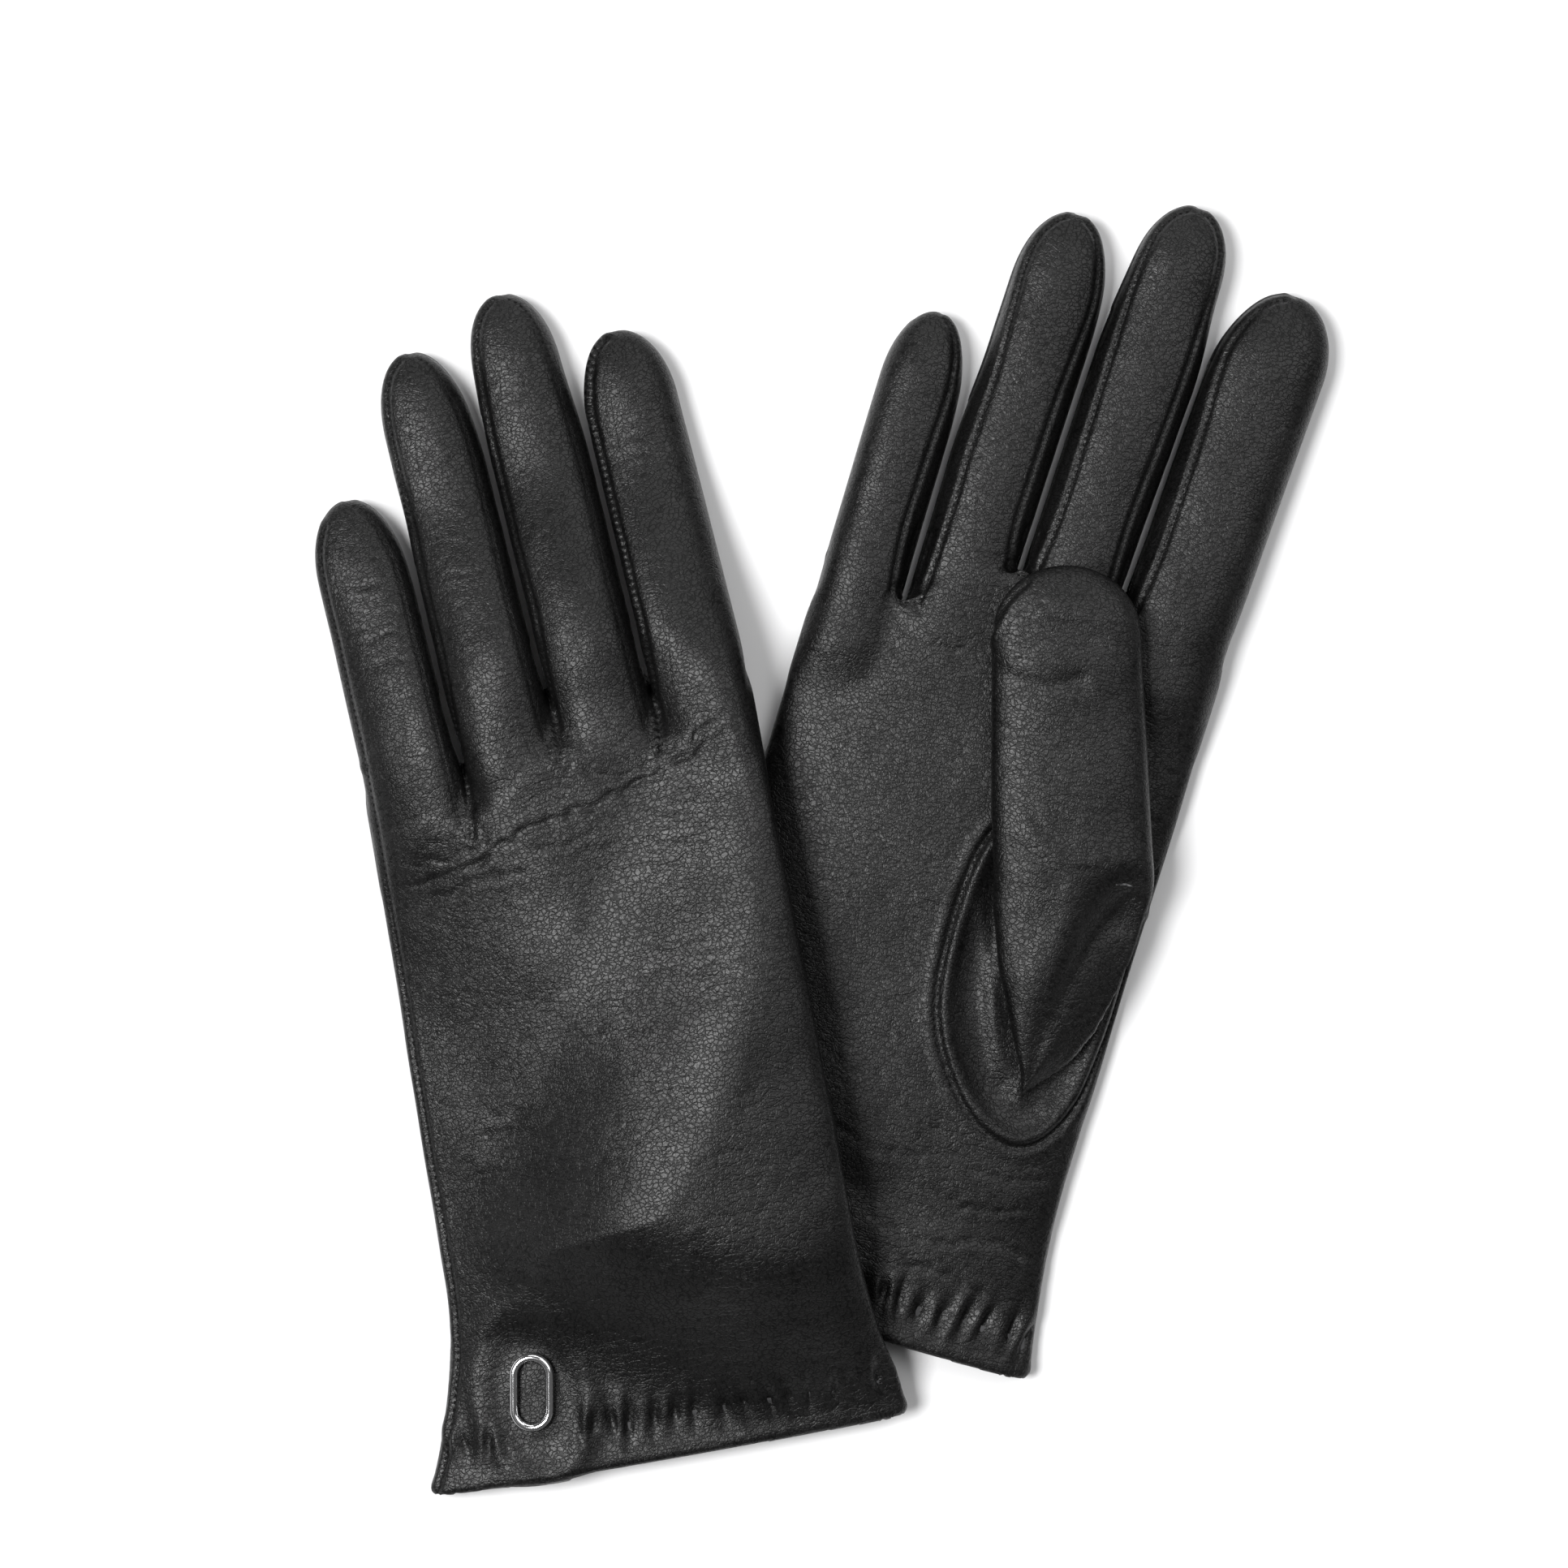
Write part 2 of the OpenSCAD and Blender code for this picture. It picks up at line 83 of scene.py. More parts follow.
HINGE_BEFORE, HINGE_AFTER = 6.5, 8.0    # how far a finger's bend reaches to each side of its hinge


def smooth(x):
    x = np.clip(x, 0, 1)
    return x * x * (3 - 2 * x)


def hand_width(v, knuckle_w):
    """Half the width of the laid hand."""
    flare = np.clip(1 - v / FLARE_LENGTH, 0, None) ** 1.7
    spread = smooth((v - FLARE_LENGTH) / (HAND_LENGTH - FLARE_LENGTH))
    return WRIST_W / 2 + (CUFF_W - WRIST_W) / 2 * flare + (knuckle_w - WRIST_W) / 2 * spread


def hand_shift(v):
    return -CUFF_SHIFT * np.clip(1 - v / FLARE_LENGTH, 0, None) ** 1.7


def hand_thick(v):
    return (CUFF_T + (PALM_T - CUFF_T) * smooth(v / (0.6 * HAND_LENGTH))
            + (KNUCKLE_T - PALM_T) * smooth((v - 0.7 * HAND_LENGTH) / (0.3 * HAND_LENGTH)))


def add_roots(glove):
    """Where each finger starts: across the palm, and up from the hem."""
    widths = glove["widths"]
    glove["knuckle_w"] = sum(widths) + 3 * FINGER_GAP
    edge = -glove["knuckle_w"] / 2
    roots = []
    for f, width in enumerate(widths):
        roots.append((edge + width / 2, HAND_LENGTH - KNUCKLE_DROP[f]))
        edge += width + FINGER_GAP
    glove["roots"] = roots


for each in GLOVES.values():
    add_roots(each)


# ---------------------------------------------------------------- from a glove's flat frame to the table
def to_table(glove, u, v):
    c, s = math.cos(glove["turn"]), math.sin(glove["turn"])
    return glove["at"][0] + u * c - v * s, glove["at"][1] + u * s + v * c


def from_table(glove, x, y):
    c, s = math.cos(glove["turn"]), math.sin(glove["turn"])
    dx, dy = x - glove["at"][0], y - glove["at"][1]
    return dx * c + dy * s, dy * c - dx * s


def held_by_glove(x, y):
    """How high the right glove holds the left one."""
    right = GLOVES["right"]
    u, v = from_table(right, x, y)
    du = hand_shift(v) - hand_width(np.clip(v, 0, None), right["knuckle_w"]) - u
    dv = -v
    outside = np.hypot(np.clip(du, 0, None), np.clip(dv, 0, None))
    d = np.where(np.maximum(du, dv) < 0, np.maximum(du, dv), outside)
    return (PALM_T + CLEARANCE) * smooth(1 - (d + EDGE_INSIDE) / EDGE_DRAPE)


def beyond(u, v, a, b, radius):
    """Distance outside a capsule from a to b."""
    ab = np.subtract(b, a)
    k = np.clip(((u - a[0]) * ab[0] + (v - a[1]) * ab[1]) / (ab @ ab), 0, 1)
    return np.hypot(u - a[0] - k * ab[0], v - a[1] - k * ab[1]) - radius


def held_by_thumb(u, v):
    """How high the folded thumb holds the left glove's palm."""
    crease = (THUMB_OFFSET, THUMB_CREASE)
    heel = (THUMB_OFFSET, THUMB_CREASE - THUMB_ROOT + THUMB_W / 2)
    reach = THUMB_LENGTH - 0.4 * THUMB_W
    end = (THUMB_OFFSET - reach * math.sin(THUMB_LEAN), THUMB_CREASE + reach * math.cos(THUMB_LEAN))
    d = np.minimum(beyond(u, v, crease, heel, THUMB_W / 2), beyond(u, v, crease, end, THUMB_W / 2))
    return (THUMB_T + 2 * CLEARANCE) * smooth(1 - (d - THUMB_LEDGE) / THUMB_DRAPE)


def laid(glove, points, over_palm=False):
    """Points (u, v, h) of the hand or fingers on the table, in metres. For the thumb, h is counted from
    the palm that it lies on, with over_palm."""
    u, v, h = points.T
    x, y = to_table(glove, u, v)
    if not over_palm:
        z = h + (held_by_glove(x, y) + held_by_thumb(u, v) if glove["back_up"] else 0)
    elif glove["back_up"]:
        z = held_by_glove(x, y) + THUMB_T + CLEARANCE - h
    else:
        z = hand_thick(np.minimum(v, HAND_LENGTH)) + CLEARANCE + h
    return np.stack([x, y, z], 1) * MM


# ---------------------------------------------------------------- fields and their zero surfaces
def unit_slope(field, step=GRID):
    """The same zero surface, with a slope of one near it, so that the field is a distance."""
    slope = np.sqrt(sum(g * g for g in np.gradient(field, step)))
    return field / np.maximum(slope, 1e-3)


def blend_min(a, b, radius):
    k = np.clip(0.5 + 0.5 * (b - a) / radius, 0, 1)
    return b + (a - b) * k - radius * k * (1 - k)


def blend_max(a, b, radius):
    return -blend_min(-a, -b, radius)


def level(x, h, half, thick, crown=CROWN, belly=BELLY):
    """1 on the outline of a laid section, less inside it."""
    mid = (CENTRE_SHARE - FLAT_SHARE) * thick
    up = np.clip(h - mid, 0, None) / ((1 - CENTRE_SHARE) * thick)
    down = np.clip(mid - h, 0, None) / (CENTRE_SHARE * thick)
    side = np.abs(x) / half
    top = (side ** crown + up ** crown) ** (1 / crown)
    bottom = (side ** belly + down ** belly) ** (1 / belly)
    return np.where(h >= mid, top, bottom)


def surface_net(field, low, step=GRID):
    """The zero surface as quads: one vertex in each cell that it passes through."""
    inside = field < 0
    shape = np.array(field.shape) - 1
    total = np.zeros((*shape, 3))
    count = np.zeros(shape)
    base = np.stack(np.meshgrid(*[np.arange(n) for n in shape], indexing="ij"), -1).astype(float)
    for axis in range(3):
        others = [a for a in range(3) if a != axis]
        for i in (0, 1):
            for j in (0, 1):
                near = [slice(None, -1)] * 3
                near[others[0]] = slice(i, i + shape[others[0]])
                near[others[1]] = slice(j, j + shape[others[1]])
                far = list(near)
                far[axis] = slice(1, None)
                a, b = field[tuple(near)], field[tuple(far)]
                cross = inside[tuple(near)] != inside[tuple(far)]
                place = base[cross]
                place[:, axis] += a[cross] / (a[cross] - b[cross])
                place[:, others[0]] += i
                place[:, others[1]] += j
                total[cross] += place
                count[cross] += 1
    used = count > 0
    number = np.full(shape, -1)
    number[used] = np.arange(used.sum())
    points = total[used] / count[used][:, None] * step + np.array(low)
    quads = []
    for axis in range(3):
        p, q = [a for a in range(3) if a != axis]
        here = [slice(1, -1)] * 3
        here[axis] = slice(None, -1)
        there = list(here)
        there[axis] = slice(1, None)
        start, stop = inside[tuple(here)], inside[tuple(there)]
        where = np.argwhere(start != stop)
        into = start[start != stop]
        where[:, p] += 1
        where[:, q] += 1
        corners = []
        for dp, dq in ((-1, -1), (0, -1), (0, 0), (-1, 0)):
            cell = where.copy()
            cell[:, p] += dp
            cell[:, q] += dq
            corners.append(number[tuple(cell.T)])
        quad = np.stack(corners, 1)
        flip = into if axis != 1 else ~into
        quad[~flip] = quad[~flip][:, ::-1]
        quads.append(quad)
    return points, np.concatenate(quads)


def neighbours(quads):
    edges = np.concatenate([quads[:, [i, (i + 1) % 4]] for i in range(4)])
    return np.unique(np.sort(edges, 1), axis=0)


def relax(points, edges, rounds, share=0.5):
    """Each point moves towards the middle of its neighbours."""
    degree = np.bincount(edges.ravel(), minlength=len(points))[:, None]
    for _ in range(rounds):
        mean = np.stack([
            np.bincount(edges[:, 0], points[edges[:, 1], k], len(points))
            + np.bincount(edges[:, 1], points[edges[:, 0], k], len(points)) for k in range(3)
        ], 1) / degree
        points = points + share * (mean - points)
    return points


def normals(points, quads):
    a, b, c, d = (points[quads[:, k]] for k in range(4))
    face = np.cross(c - a, d - b)
    total = np.stack([
        sum(np.bincount(quads[:, k], face[:, axis], len(points)) for k in range(4)) for axis in range(3)
    ], 1)
    return total / np.maximum(np.linalg.norm(total, axis=1, keepdims=True), 1e-12)


# ---------------------------------------------------------------- the shapes of hand, finger and thumb
FORKS_PALM = (148.0, 160.0, 157.0)      # where the gaps between fingers end on the palm
FORKS_BACK = (133.0, 145.0, 143.0)      # and on the back, further down
TIP_POWER, TIP_ROUND = 2.0, 15.0        # how the tips of the laid leather round off, and over what length
NARROWEST_GAP = 0.85                    # between two fingers
CAVITY_DEPTH = 58.0
CORNER = 5.0                            # radius of the hem's corners


def grid(low, high):
    axes = [np.arange(a, b, GRID) for a, b in zip(low, high)]
    return np.meshgrid(*axes, indexing="ij")


def gap_places(glove):
    return [(glove["roots"][f][0] + glove["widths"][f] / 2 + FINGER_GAP / 2) for f in range(3)]


def fork_line(glove, u, back):
    return np.interp(u, gap_places(glove), FORKS_BACK if back else FORKS_PALM)


def along_finger(glove, f, u, v):
    """(across, along) a finger, from the middle of its root."""
    u0, v0 = glove["roots"][f]
    a = math.radians(glove["leans"][f])
    return ((u - u0) * math.cos(a) - (v - v0) * math.sin(a),
            (u - u0) * math.sin(a) + (v - v0) * math.cos(a))


def on_finger(glove, f, x, s):
    u0, v0 = glove["roots"][f]
    a = math.radians(glove["leans"][f])
    return u0 + x * math.cos(a) + s * math.sin(a), v0 + s * math.cos(a) - x * math.sin(a)


def finger_half(glove, f, s):
    """Half a finger's width, as its root and taper give it."""
    return glove["widths"][f] / 2 * (1 - 0.07 * np.clip(s, 0, None) / FINGER_LENGTH[f]) - 0.15


def finger_side(glove, f, side, s):
    """Half a finger's width on one side, filled out until it nearly meets the next finger."""
    half = finger_half(glove, f, s)
    other = f + side
    roots, leans = glove["roots"], glove["leans"]
    if not 0 <= other <= 3:
        (u0, v0), a = roots[f], math.radians(leans[f])
        edge = hand_width(np.clip(v0 + s, 0, None), glove["knuckle_w"]) - side * u0
        edge = edge * math.cos(a) - side * s * math.sin(a)
        return half + (edge - 0.4 - half) * smooth((5 - s) / 12)
    s_other = s + roots[f][1] - roots[other][1]
    lean, lean_other = math.sin(math.radians(leans[f])), math.sin(math.radians(leans[other]))
    between = abs(roots[other][0] - roots[f][0])
    between = between + side * (s_other * lean_other - s * lean)
    gap = between - half - finger_half(glove, other, s_other)
    shorter = min(FINGER_LENGTH[f], FINGER_LENGTH[other] + roots[other][1] - roots[f][1])
    return half + (gap - NARROWEST_GAP) / 2 * smooth((s + 20) / 8) * smooth((shorter - 3 - s) / 22)


def hand_field(glove, u, v, h):
    half, thick = hand_width(np.clip(v, 0, None), glove["knuckle_w"]), hand_thick(v)
    field = unit_slope(level(u - hand_shift(v), h, half, thick) - 1)
    share = np.clip(h / thick, 0, 1)
    towards_back = share if glove["back_up"] else 1 - share
    palm, back = fork_line(glove, u, False), fork_line(glove, u, True)
    end = unit_slope(v - palm - (back - palm) * towards_back)
    return blend_max(field, end, 1.5)


def finger_field(glove, f, u, v, h):
    x, s = along_finger(glove, f, u, v)
    length = FINGER_LENGTH[f]
    sunk = 1 - 0.06 * smooth(-s / 12) - 0.3 * smooth((-s - 15) / 15)
    thick = FINGER_T * (1 - 0.1 * np.clip(s, 0, None) / length) * sunk
    round_part = np.clip((s - length + TIP_ROUND) / TIP_ROUND, 0, None) + np.clip((-s - 24) / 8, 0, None)
    half = np.where(x > 0, finger_side(glove, f, 1, s), finger_side(glove, f, -1, s))
    body = level(x, h, half, thick, 2.5, 3.4)
    return unit_slope((body ** TIP_POWER + round_part ** TIP_POWER) ** (1 / TIP_POWER) - 1)


def fork_groove(glove, gap, u, v, h):
    """The groove that runs down between two fingers to its fork, on the palm."""
    root = (glove["roots"][gap][1] + glove["roots"][gap + 1][1]) / 2
    lean = math.radians((glove["leans"][gap] + glove["leans"][gap + 1]) / 2)
    middle = gap_places(glove)[gap] + (v - root) * math.tan(lean)
    fork = FORKS_PALM[gap]
    width = smooth((v - fork + 1.0) / 6) + 0.6
    over = 5.0 * smooth((v - fork + 2.0) / 5)
    height = over - h if glove["back_up"] else h - (hand_thick(v) - over)
    return np.maximum.reduce([np.abs(u - middle) - width, -height, fork - 1 - v, v - root - 6])


def cavity_field(glove, u, v, h):
    half = hand_width(np.clip(v, 0, None), glove["knuckle_w"]) - SIDE_WALL
    inner = unit_slope(level(u - hand_shift(v), h - WALL, half, hand_thick(v) - 2 * WALL) - 1)
    return blend_max(inner, v - CAVITY_DEPTH, 3)


def glove_surface(glove):
    """Points and quads of a glove without its thumb."""
    low = (-60.0, -2.4, -1.5)
    u, v, h = grid(low, (60.0, 245.0, 15.0))
    hand = hand_field(glove, u, v, h)
    whole = hand
    for f in range(4):
        finger = finger_field(glove, f, u, v, h)
        whole = np.minimum(whole, blend_min(hand, finger, 1.8))
    for gap in range(3):
        whole = blend_max(whole, -fork_groove(glove, gap, u, v, h), 1.4)
    corner = np.clip(np.abs(u + CUFF_SHIFT) - CUFF_W / 2 + CORNER, 0, CORNER)
    hem = CORNER - np.sqrt(CORNER ** 2 - corner ** 2)
    whole = blend_max(whole, 0.7 * hem - v, 1.8)
    whole = blend_max(whole, -cavity_field(glove, u, v, h), 1.0)
    whole = blend_max(whole, -h, 0.9)
    points, quads = surface_net(whole, low)
    edges = neighbours(quads)
    return relax(points, edges, 2), quads


THUMB_HEEL = 57.0                       # where the pleats of a folded thumb meet, up from the hem
THUMB_HALF, LINING_HALF = 16.4, 15.6    # half the width of a thumb, and what its lining starts from
THUMB_TIP = 14.0                        # length over which its tip rounds off
THUMB_STRAIGHT = THUMB_LENGTH + 2.5 - THUMB_TIP
TAPER = 0.1                             # share of its width and thickness that it loses up to its tip


def thumb_sides(v):
    """Left and right edge of the thumb below its crease."""
    left = np.interp(v, (57, 61, 70, 80, 92, 103), (27.2, 26.0, 21.0, 15.4, 10.6, THUMB_OFFSET - THUMB_HALF))
    right = np.interp(v, (57, 61, 66, 73, 82, 92, 103),
                      (28.8, 32.0, 35.4, 38.4, 40.4, 41.2, THUMB_OFFSET + THUMB_HALF))
    return left, right


def thumb_surface():
    """Points and quads of a folded thumb: h is counted from the palm that it lies on."""
    low = (-20.0, 50.0, -1.5)
    u, v, h = grid(low, (50.0, 168.0, 12.0))
    du, dv = u - THUMB_OFFSET, v - THUMB_CREASE
    s = dv * math.cos(THUMB_LEAN) - du * math.sin(THUMB_LEAN)
    x = du * math.cos(THUMB_LEAN) + dv * math.sin(THUMB_LEAN)
    below = smooth((THUMB_CREASE + 6 - v) / 14)
    low_side, high_side = thumb_sides(v)
    x = x * (1 - below) + (u - (low_side + high_side) / 2) * below
    left = np.clip((THUMB_CREASE + 4 - v) / 50, 0, 1)
    narrow = (1 - left) ** 0.6
    taper = 1 - TAPER * np.clip(s, 0, None) / THUMB_LENGTH
    half = (high_side - low_side) / 2 * below + THUMB_HALF * taper * (1 - below)
    thick = np.maximum(THUMB_T * taper * (0.25 + 0.75 * narrow), 1.0)
    thick = thick * (1 - 0.78 * below * smooth((x / half + 0.1) / 1.1))
    tip = np.clip((s - THUMB_STRAIGHT) / THUMB_TIP, 0, None)
    heel = np.clip((THUMB_HEEL + 5 - v) / 7, 0, None)
    body = level(x, h, half, thick, 2.6, 3.2)
    field = unit_slope((body ** TIP_POWER + tip ** TIP_POWER + heel ** TIP_POWER) ** (1 / TIP_POWER) - 1)
    points, quads = surface_net(field, low)
    return relax(points, neighbours(quads), 2), quads


# ---------------------------------------------------------------- seams, creases and gathers
STITCH = 1.45                # length of a stitch and the space after it


def curve(points, step=0.5):
    """A smooth line through a few points, as close points."""
    p = np.array(points, float)
    if len(p) == 2:
        n = max(2, int(np.hypot(*(p[1] - p[0])) / step))
        return p[0] + (p[1] - p[0]) * np.linspace(0, 1, n)[:, None]
    ends = np.concatenate([[2 * p[0] - p[1]], p, [2 * p[-1] - p[-2]]])
    out = []
    for i in range(len(p) - 1):
        a, b, c, d = ends[i:i + 4]
        n = max(2, int(np.hypot(*(c - b)) / step))
        t = np.linspace(0, 1, n, endpoint=False)[:, None]
        out.append(0.5 * (2 * b + (c - a) * t + (2 * a - 5 * b + 4 * c - d) * t ** 2
                          + (3 * b - a - 3 * c + d) * t ** 3))
    out.append(p[-1:])
    return np.concatenate(out)


def near_line(uv, line, reach):
    """For the points within reach of a line: which they are, their signed distance, and how far along."""
    low, high = line.min(0) - reach, line.max(0) + reach
    found = np.nonzero(((uv > low) & (uv < high)).all(1))[0]
    if not len(found):
        return found, np.zeros(0), np.zeros(0)
    coarse = line[::max(1, len(line) // 60)]
    if not np.allclose(coarse[-1], line[-1]):
        coarse = np.concatenate([coarse, line[-1:]])
    p = uv[found]
    best = np.full(len(p), 1e9)
    side = np.zeros(len(p))
    along = np.zeros(len(p))
    start = 0.0
    for a, b in zip(coarse[:-1], coarse[1:]):
        ab = b - a
        length = math.hypot(*ab)
        k = np.clip(((p - a) @ ab) / length ** 2, 0, 1)
        off = p - a - k[:, None] * ab
        d = np.hypot(*off.T)
        closer = d < best
        best[closer] = d[closer]
        side[closer] = np.sign(ab[0] * off[closer, 1] - ab[1] * off[closer, 0])
        along[closer] = start + k[closer] * length
        start += length
    keep = best < reach
    return found[keep], (best * side)[keep], along[keep]


def bell(x, width):
    return np.exp(-(x / width) ** 2)


def seam_inset(glove, back, side, s, length):
    """How far from a finger's edge its seam runs."""
    if not back:
        return 3.7 - 1.9 * smooth((s / length - 0.35) / 0.6)
    return 2.3 if side > 0 else 1.6


def finger_seams(glove, f, back):
    """The seams of a finger on one face of the glove, from its fork to its tip."""
    seams = []
    length = FINGER_LENGTH[f]
    gaps = gap_places(glove)
    for side in (-1, 1):
        gap = f if side > 0 else f - 1
        if not 0 <= gap <= 2:
            continue
        fork = (FORKS_BACK if back else FORKS_PALM)[gap]
        if back:
            points = [(gaps[gap] - side * 0.3, fork - 1.5), (gaps[gap] - side * 1.2, fork + 1.5)]
        else:
            points = [(gaps[gap], fork - 3.2), (gaps[gap] - side * 2.4, fork - 2.2),
                      (gaps[gap] - side * 3.4, fork + 1.0)]
        for s in (8, 0.25 * length, 0.5 * length, 0.7 * length, length - TIP_ROUND):
            inset = seam_inset(glove, back, side, s, length)
            points.append(on_finger(glove, f, side * (finger_side(glove, f, side, s) - inset), s))
        for turn_angle in (30, 55, 75):
            a = math.radians(turn_angle)
            inset = seam_inset(glove, back, side, length, length)
            reach = finger_half(glove, f, length) - inset
            points.append(on_finger(glove, f, side * reach * math.cos(a),
                                    length - TIP_ROUND + (TIP_ROUND - 1.3) * math.sin(a)))
        pucker = (1.0 if f == 3 else 0.35) if back and side < 0 else 0.0
        seams.append(dict(line=curve(points), outward=-side, pucker=pucker, flat=back and side > 0))
    return seams


def side_seam(glove):
    """The seam down the little finger's side, from its tip to the hem."""
    length = FINGER_LENGTH[0]
    finger = []
    near_tip = [length - TIP_ROUND * share for share in (0.3, 0.6, 1)]
    for s in (*near_tip, 0.5 * length, 0.25 * length, 0):
        shrink = math.sqrt(1 - max(0.0, (s - length + TIP_ROUND) / TIP_ROUND) ** 2)
        finger.append(on_finger(glove, 0, -(finger_half(glove, 0, s) * shrink - 1.5), s))
    hand = []
    for v in (120, 90, 60, 42, 30, 20, 12, 6, 1.5):
        hand.append((hand_shift(v) - hand_width(v, glove["knuckle_w"]) + 1.7, v))
    lines = (finger, [finger[-1]] + hand)
    return [dict(line=curve(line), outward=-1, pucker=0.15, flat=False) for line in lines]


def crease(points, depth, width, back=True):
    return dict(line=curve(points), depth=depth, width=width, back=back)


def uneven(along, seed):
    """A depth that comes and goes along a crease."""
    return 0.65 + 0.35 * np.sin(along * 0.9 + seed) * np.sin(along * 0.37 + 2.1 * seed)


def finger_creases(glove, f, seed):
    """Short creases across a finger, deeper over its joints."""
    draw = np.random.default_rng(seed)
    length = FINGER_LENGTH[f]
    found = []
    for back in (True, False):
        for _ in range(16):
            s = length * draw.uniform(0.02, 0.86)
            joint = max(bell(s / length - 0.36, 0.1), bell(s / length - 0.68, 0.08))
            half = finger_half(glove, f, s)
            middle = draw.uniform(-0.5, 0.5) * half
            reach = draw.uniform(0.3, 0.75) * half
            bend = draw.uniform(-0.12, 0.2) * reach
            tilt = draw.uniform(-0.25, 0.25)
            points = []
            for k in (-1, -0.4, 0.3, 1):
                x = np.clip(middle + k * reach, -half + 1, half - 1)
                points.append(on_finger(glove, f, x, s + tilt * (x - middle) + bend * (1 - k * k)
                                        + draw.uniform(-0.3, 0.3)))
            depth = (draw.uniform(0.05, 0.12) + 0.16 * joint) * (1 if back else 0.45)
            found.append(crease(points, depth, draw.uniform(0.5, 0.7), back))
    return found


def hand_creases(seed):
    """Creases of the hand: first those of the knuckles and the wrist, then smaller ones between them."""
    found = [
        crease([(-37, 124), (-24, 125), (-8, 131), (8, 134), (22, 139), (36, 147)], 0.45, 0.9),
        crease([(-37, 130), (-28, 128), (-16, 130)], 0.3, 0.8),
        crease([(-36, 117), (-28, 121), (-17, 123), (-8, 122)], 0.28, 0.9),
        crease([(-16, 131), (-8, 127), (0, 127), (7, 130)], 0.25, 0.8),
        crease([(-16, 131), (-22, 123), (-31, 119)], 0.2, 0.8),
        crease([(3, 143), (9, 139), (18, 140), (24, 143)], 0.28, 0.8),
        crease([(24, 141), (29, 146), (37, 149)], 0.3, 0.9),
        crease([(24, 139), (31, 143), (40, 145)], 0.22, 0.8),
        crease([(-34, 69), (-27, 72), (-17, 71), (-10, 74)], 0.4, 1.1),
        crease([(-36, 63), (-26, 64), (-14, 62), (0, 64)], 0.32, 1.0),
        crease([(-36, 57), (-29, 59), (-22, 56)], 0.3, 0.9),
        crease([(-30, 80), (-24, 75), (-15, 76)], 0.2, 1.2),
        crease([(4, 97), (14, 99), (27, 96)], 0.14, 1.0),
        crease([(8, 110), (15, 104), (27, 106)], 0.14, 1.4),
        crease([(-8, 88), (2, 90), (9, 87)], 0.14, 1.0),
        crease([(-30, 148), (-24, 141), (-14, 138), (-3, 141)], 0.16, 0.9, False),
        crease([(-33, 143), (-27, 137), (-20, 134)], 0.14, 0.8, False),
        crease([(-10, 160), (-5, 155), (3, 153)], 0.16, 0.8, False),
        crease([(-40, 112), (-30, 108), (-20, 109)], 0.12, 1.2, False),
        crease([(12, 34), (24, 31), (38, 35)], 0.3, 1.0, False),
        crease([(4, 24), (18, 22), (30, 26), (42, 24)], 0.35, 1.1, False),
        crease([(16, 42), (28, 38), (40, 42)], 0.25, 1.0, False),
        crease([(-10, 40), (4, 37), (16, 40)], 0.2, 1.0, False),
        crease([(10, 15), (22, 17), (36, 14)], 0.3, 1.0, False),
        crease([(33, 130), (38, 128), (42, 128)], 0.3, 0.7, False),
        crease([(34, 118), (38, 117), (42, 118)], 0.25, 0.7, False),
    ]
    draw = np.random.default_rng(seed)
    for back in (True, False):
        for _ in range(34):
            low_band = draw.uniform() < 0.45
            v = draw.uniform(20, 60) if low_band else draw.uniform(60, 148)
            u = draw.uniform(-38, 38)
            reach = draw.uniform(3, 9)
            tilt = draw.uniform(-0.3, 0.35)
            points = []
            for k in (-1, -0.3, 0.4, 1):
                points.append((u + k * reach, v + tilt * k * reach + draw.uniform(-0.8, 0.8)))
            depth = draw.uniform(0.05, 0.16) * (1 if back or low_band else 0.5)
            found.append(crease(points, depth, draw.uniform(0.6, 0.9), back))
    return found


def oval_line():
    """The seam around the thumb's root, on the palm."""
    return curve([(9, 110), (5.4, 102.5), (4.2, 90), (5, 74), (7.8, 64), (13.5, 55), (21, 48),
                  (29, 45.7), (35, 49), (39.5, 58), (41, 70), (41.3, 82), (41.3, 97)])


def waves(uv, seed, size, count=9, shortest=16, longest=46):
    """Soft unevenness of leather that lies over a lining."""
    draw = np.random.default_rng(seed)
    total = np.zeros(len(uv))
    for _ in range(count):
        length = draw.uniform(shortest, longest)
        a = draw.uniform(0, math.pi)
        phase = draw.uniform(0, 2 * math.pi)
        total += np.cos((uv[:, 0] * math.cos(a) + uv[:, 1] * math.sin(a)) * 2 * math.pi / length + phase)
    return total * size / math.sqrt(count)


def gathers(uv, seed):
    """Puckers where the elastic draws the cuff in."""
    draw = np.random.default_rng(seed)
    u, v = uv.T
    total = np.zeros(len(uv))
    place = -46.0
    while place < 46:
        width, fold = draw.uniform(1.1, 1.9), draw.uniform(0.55, 0.8)
        centre, reach = draw.uniform(9.0, 12), draw.uniform(3.0, 5.5)
        across = u - place - draw.uniform(-0.25, 0.25) * (v - centre)
        total += draw.uniform(0.5, 1.0) * bell(across, width) * bell(v - centre, reach)
        beside = across - draw.uniform(1.4, 2.2)
        depth, low = draw.uniform(0.6, 1.0), draw.uniform(8.0, 10.5)
        total -= depth * bell(beside, fold) * bell(v - low, reach * 0.6)
        place += draw.uniform(3.2, 5.6)
    return total


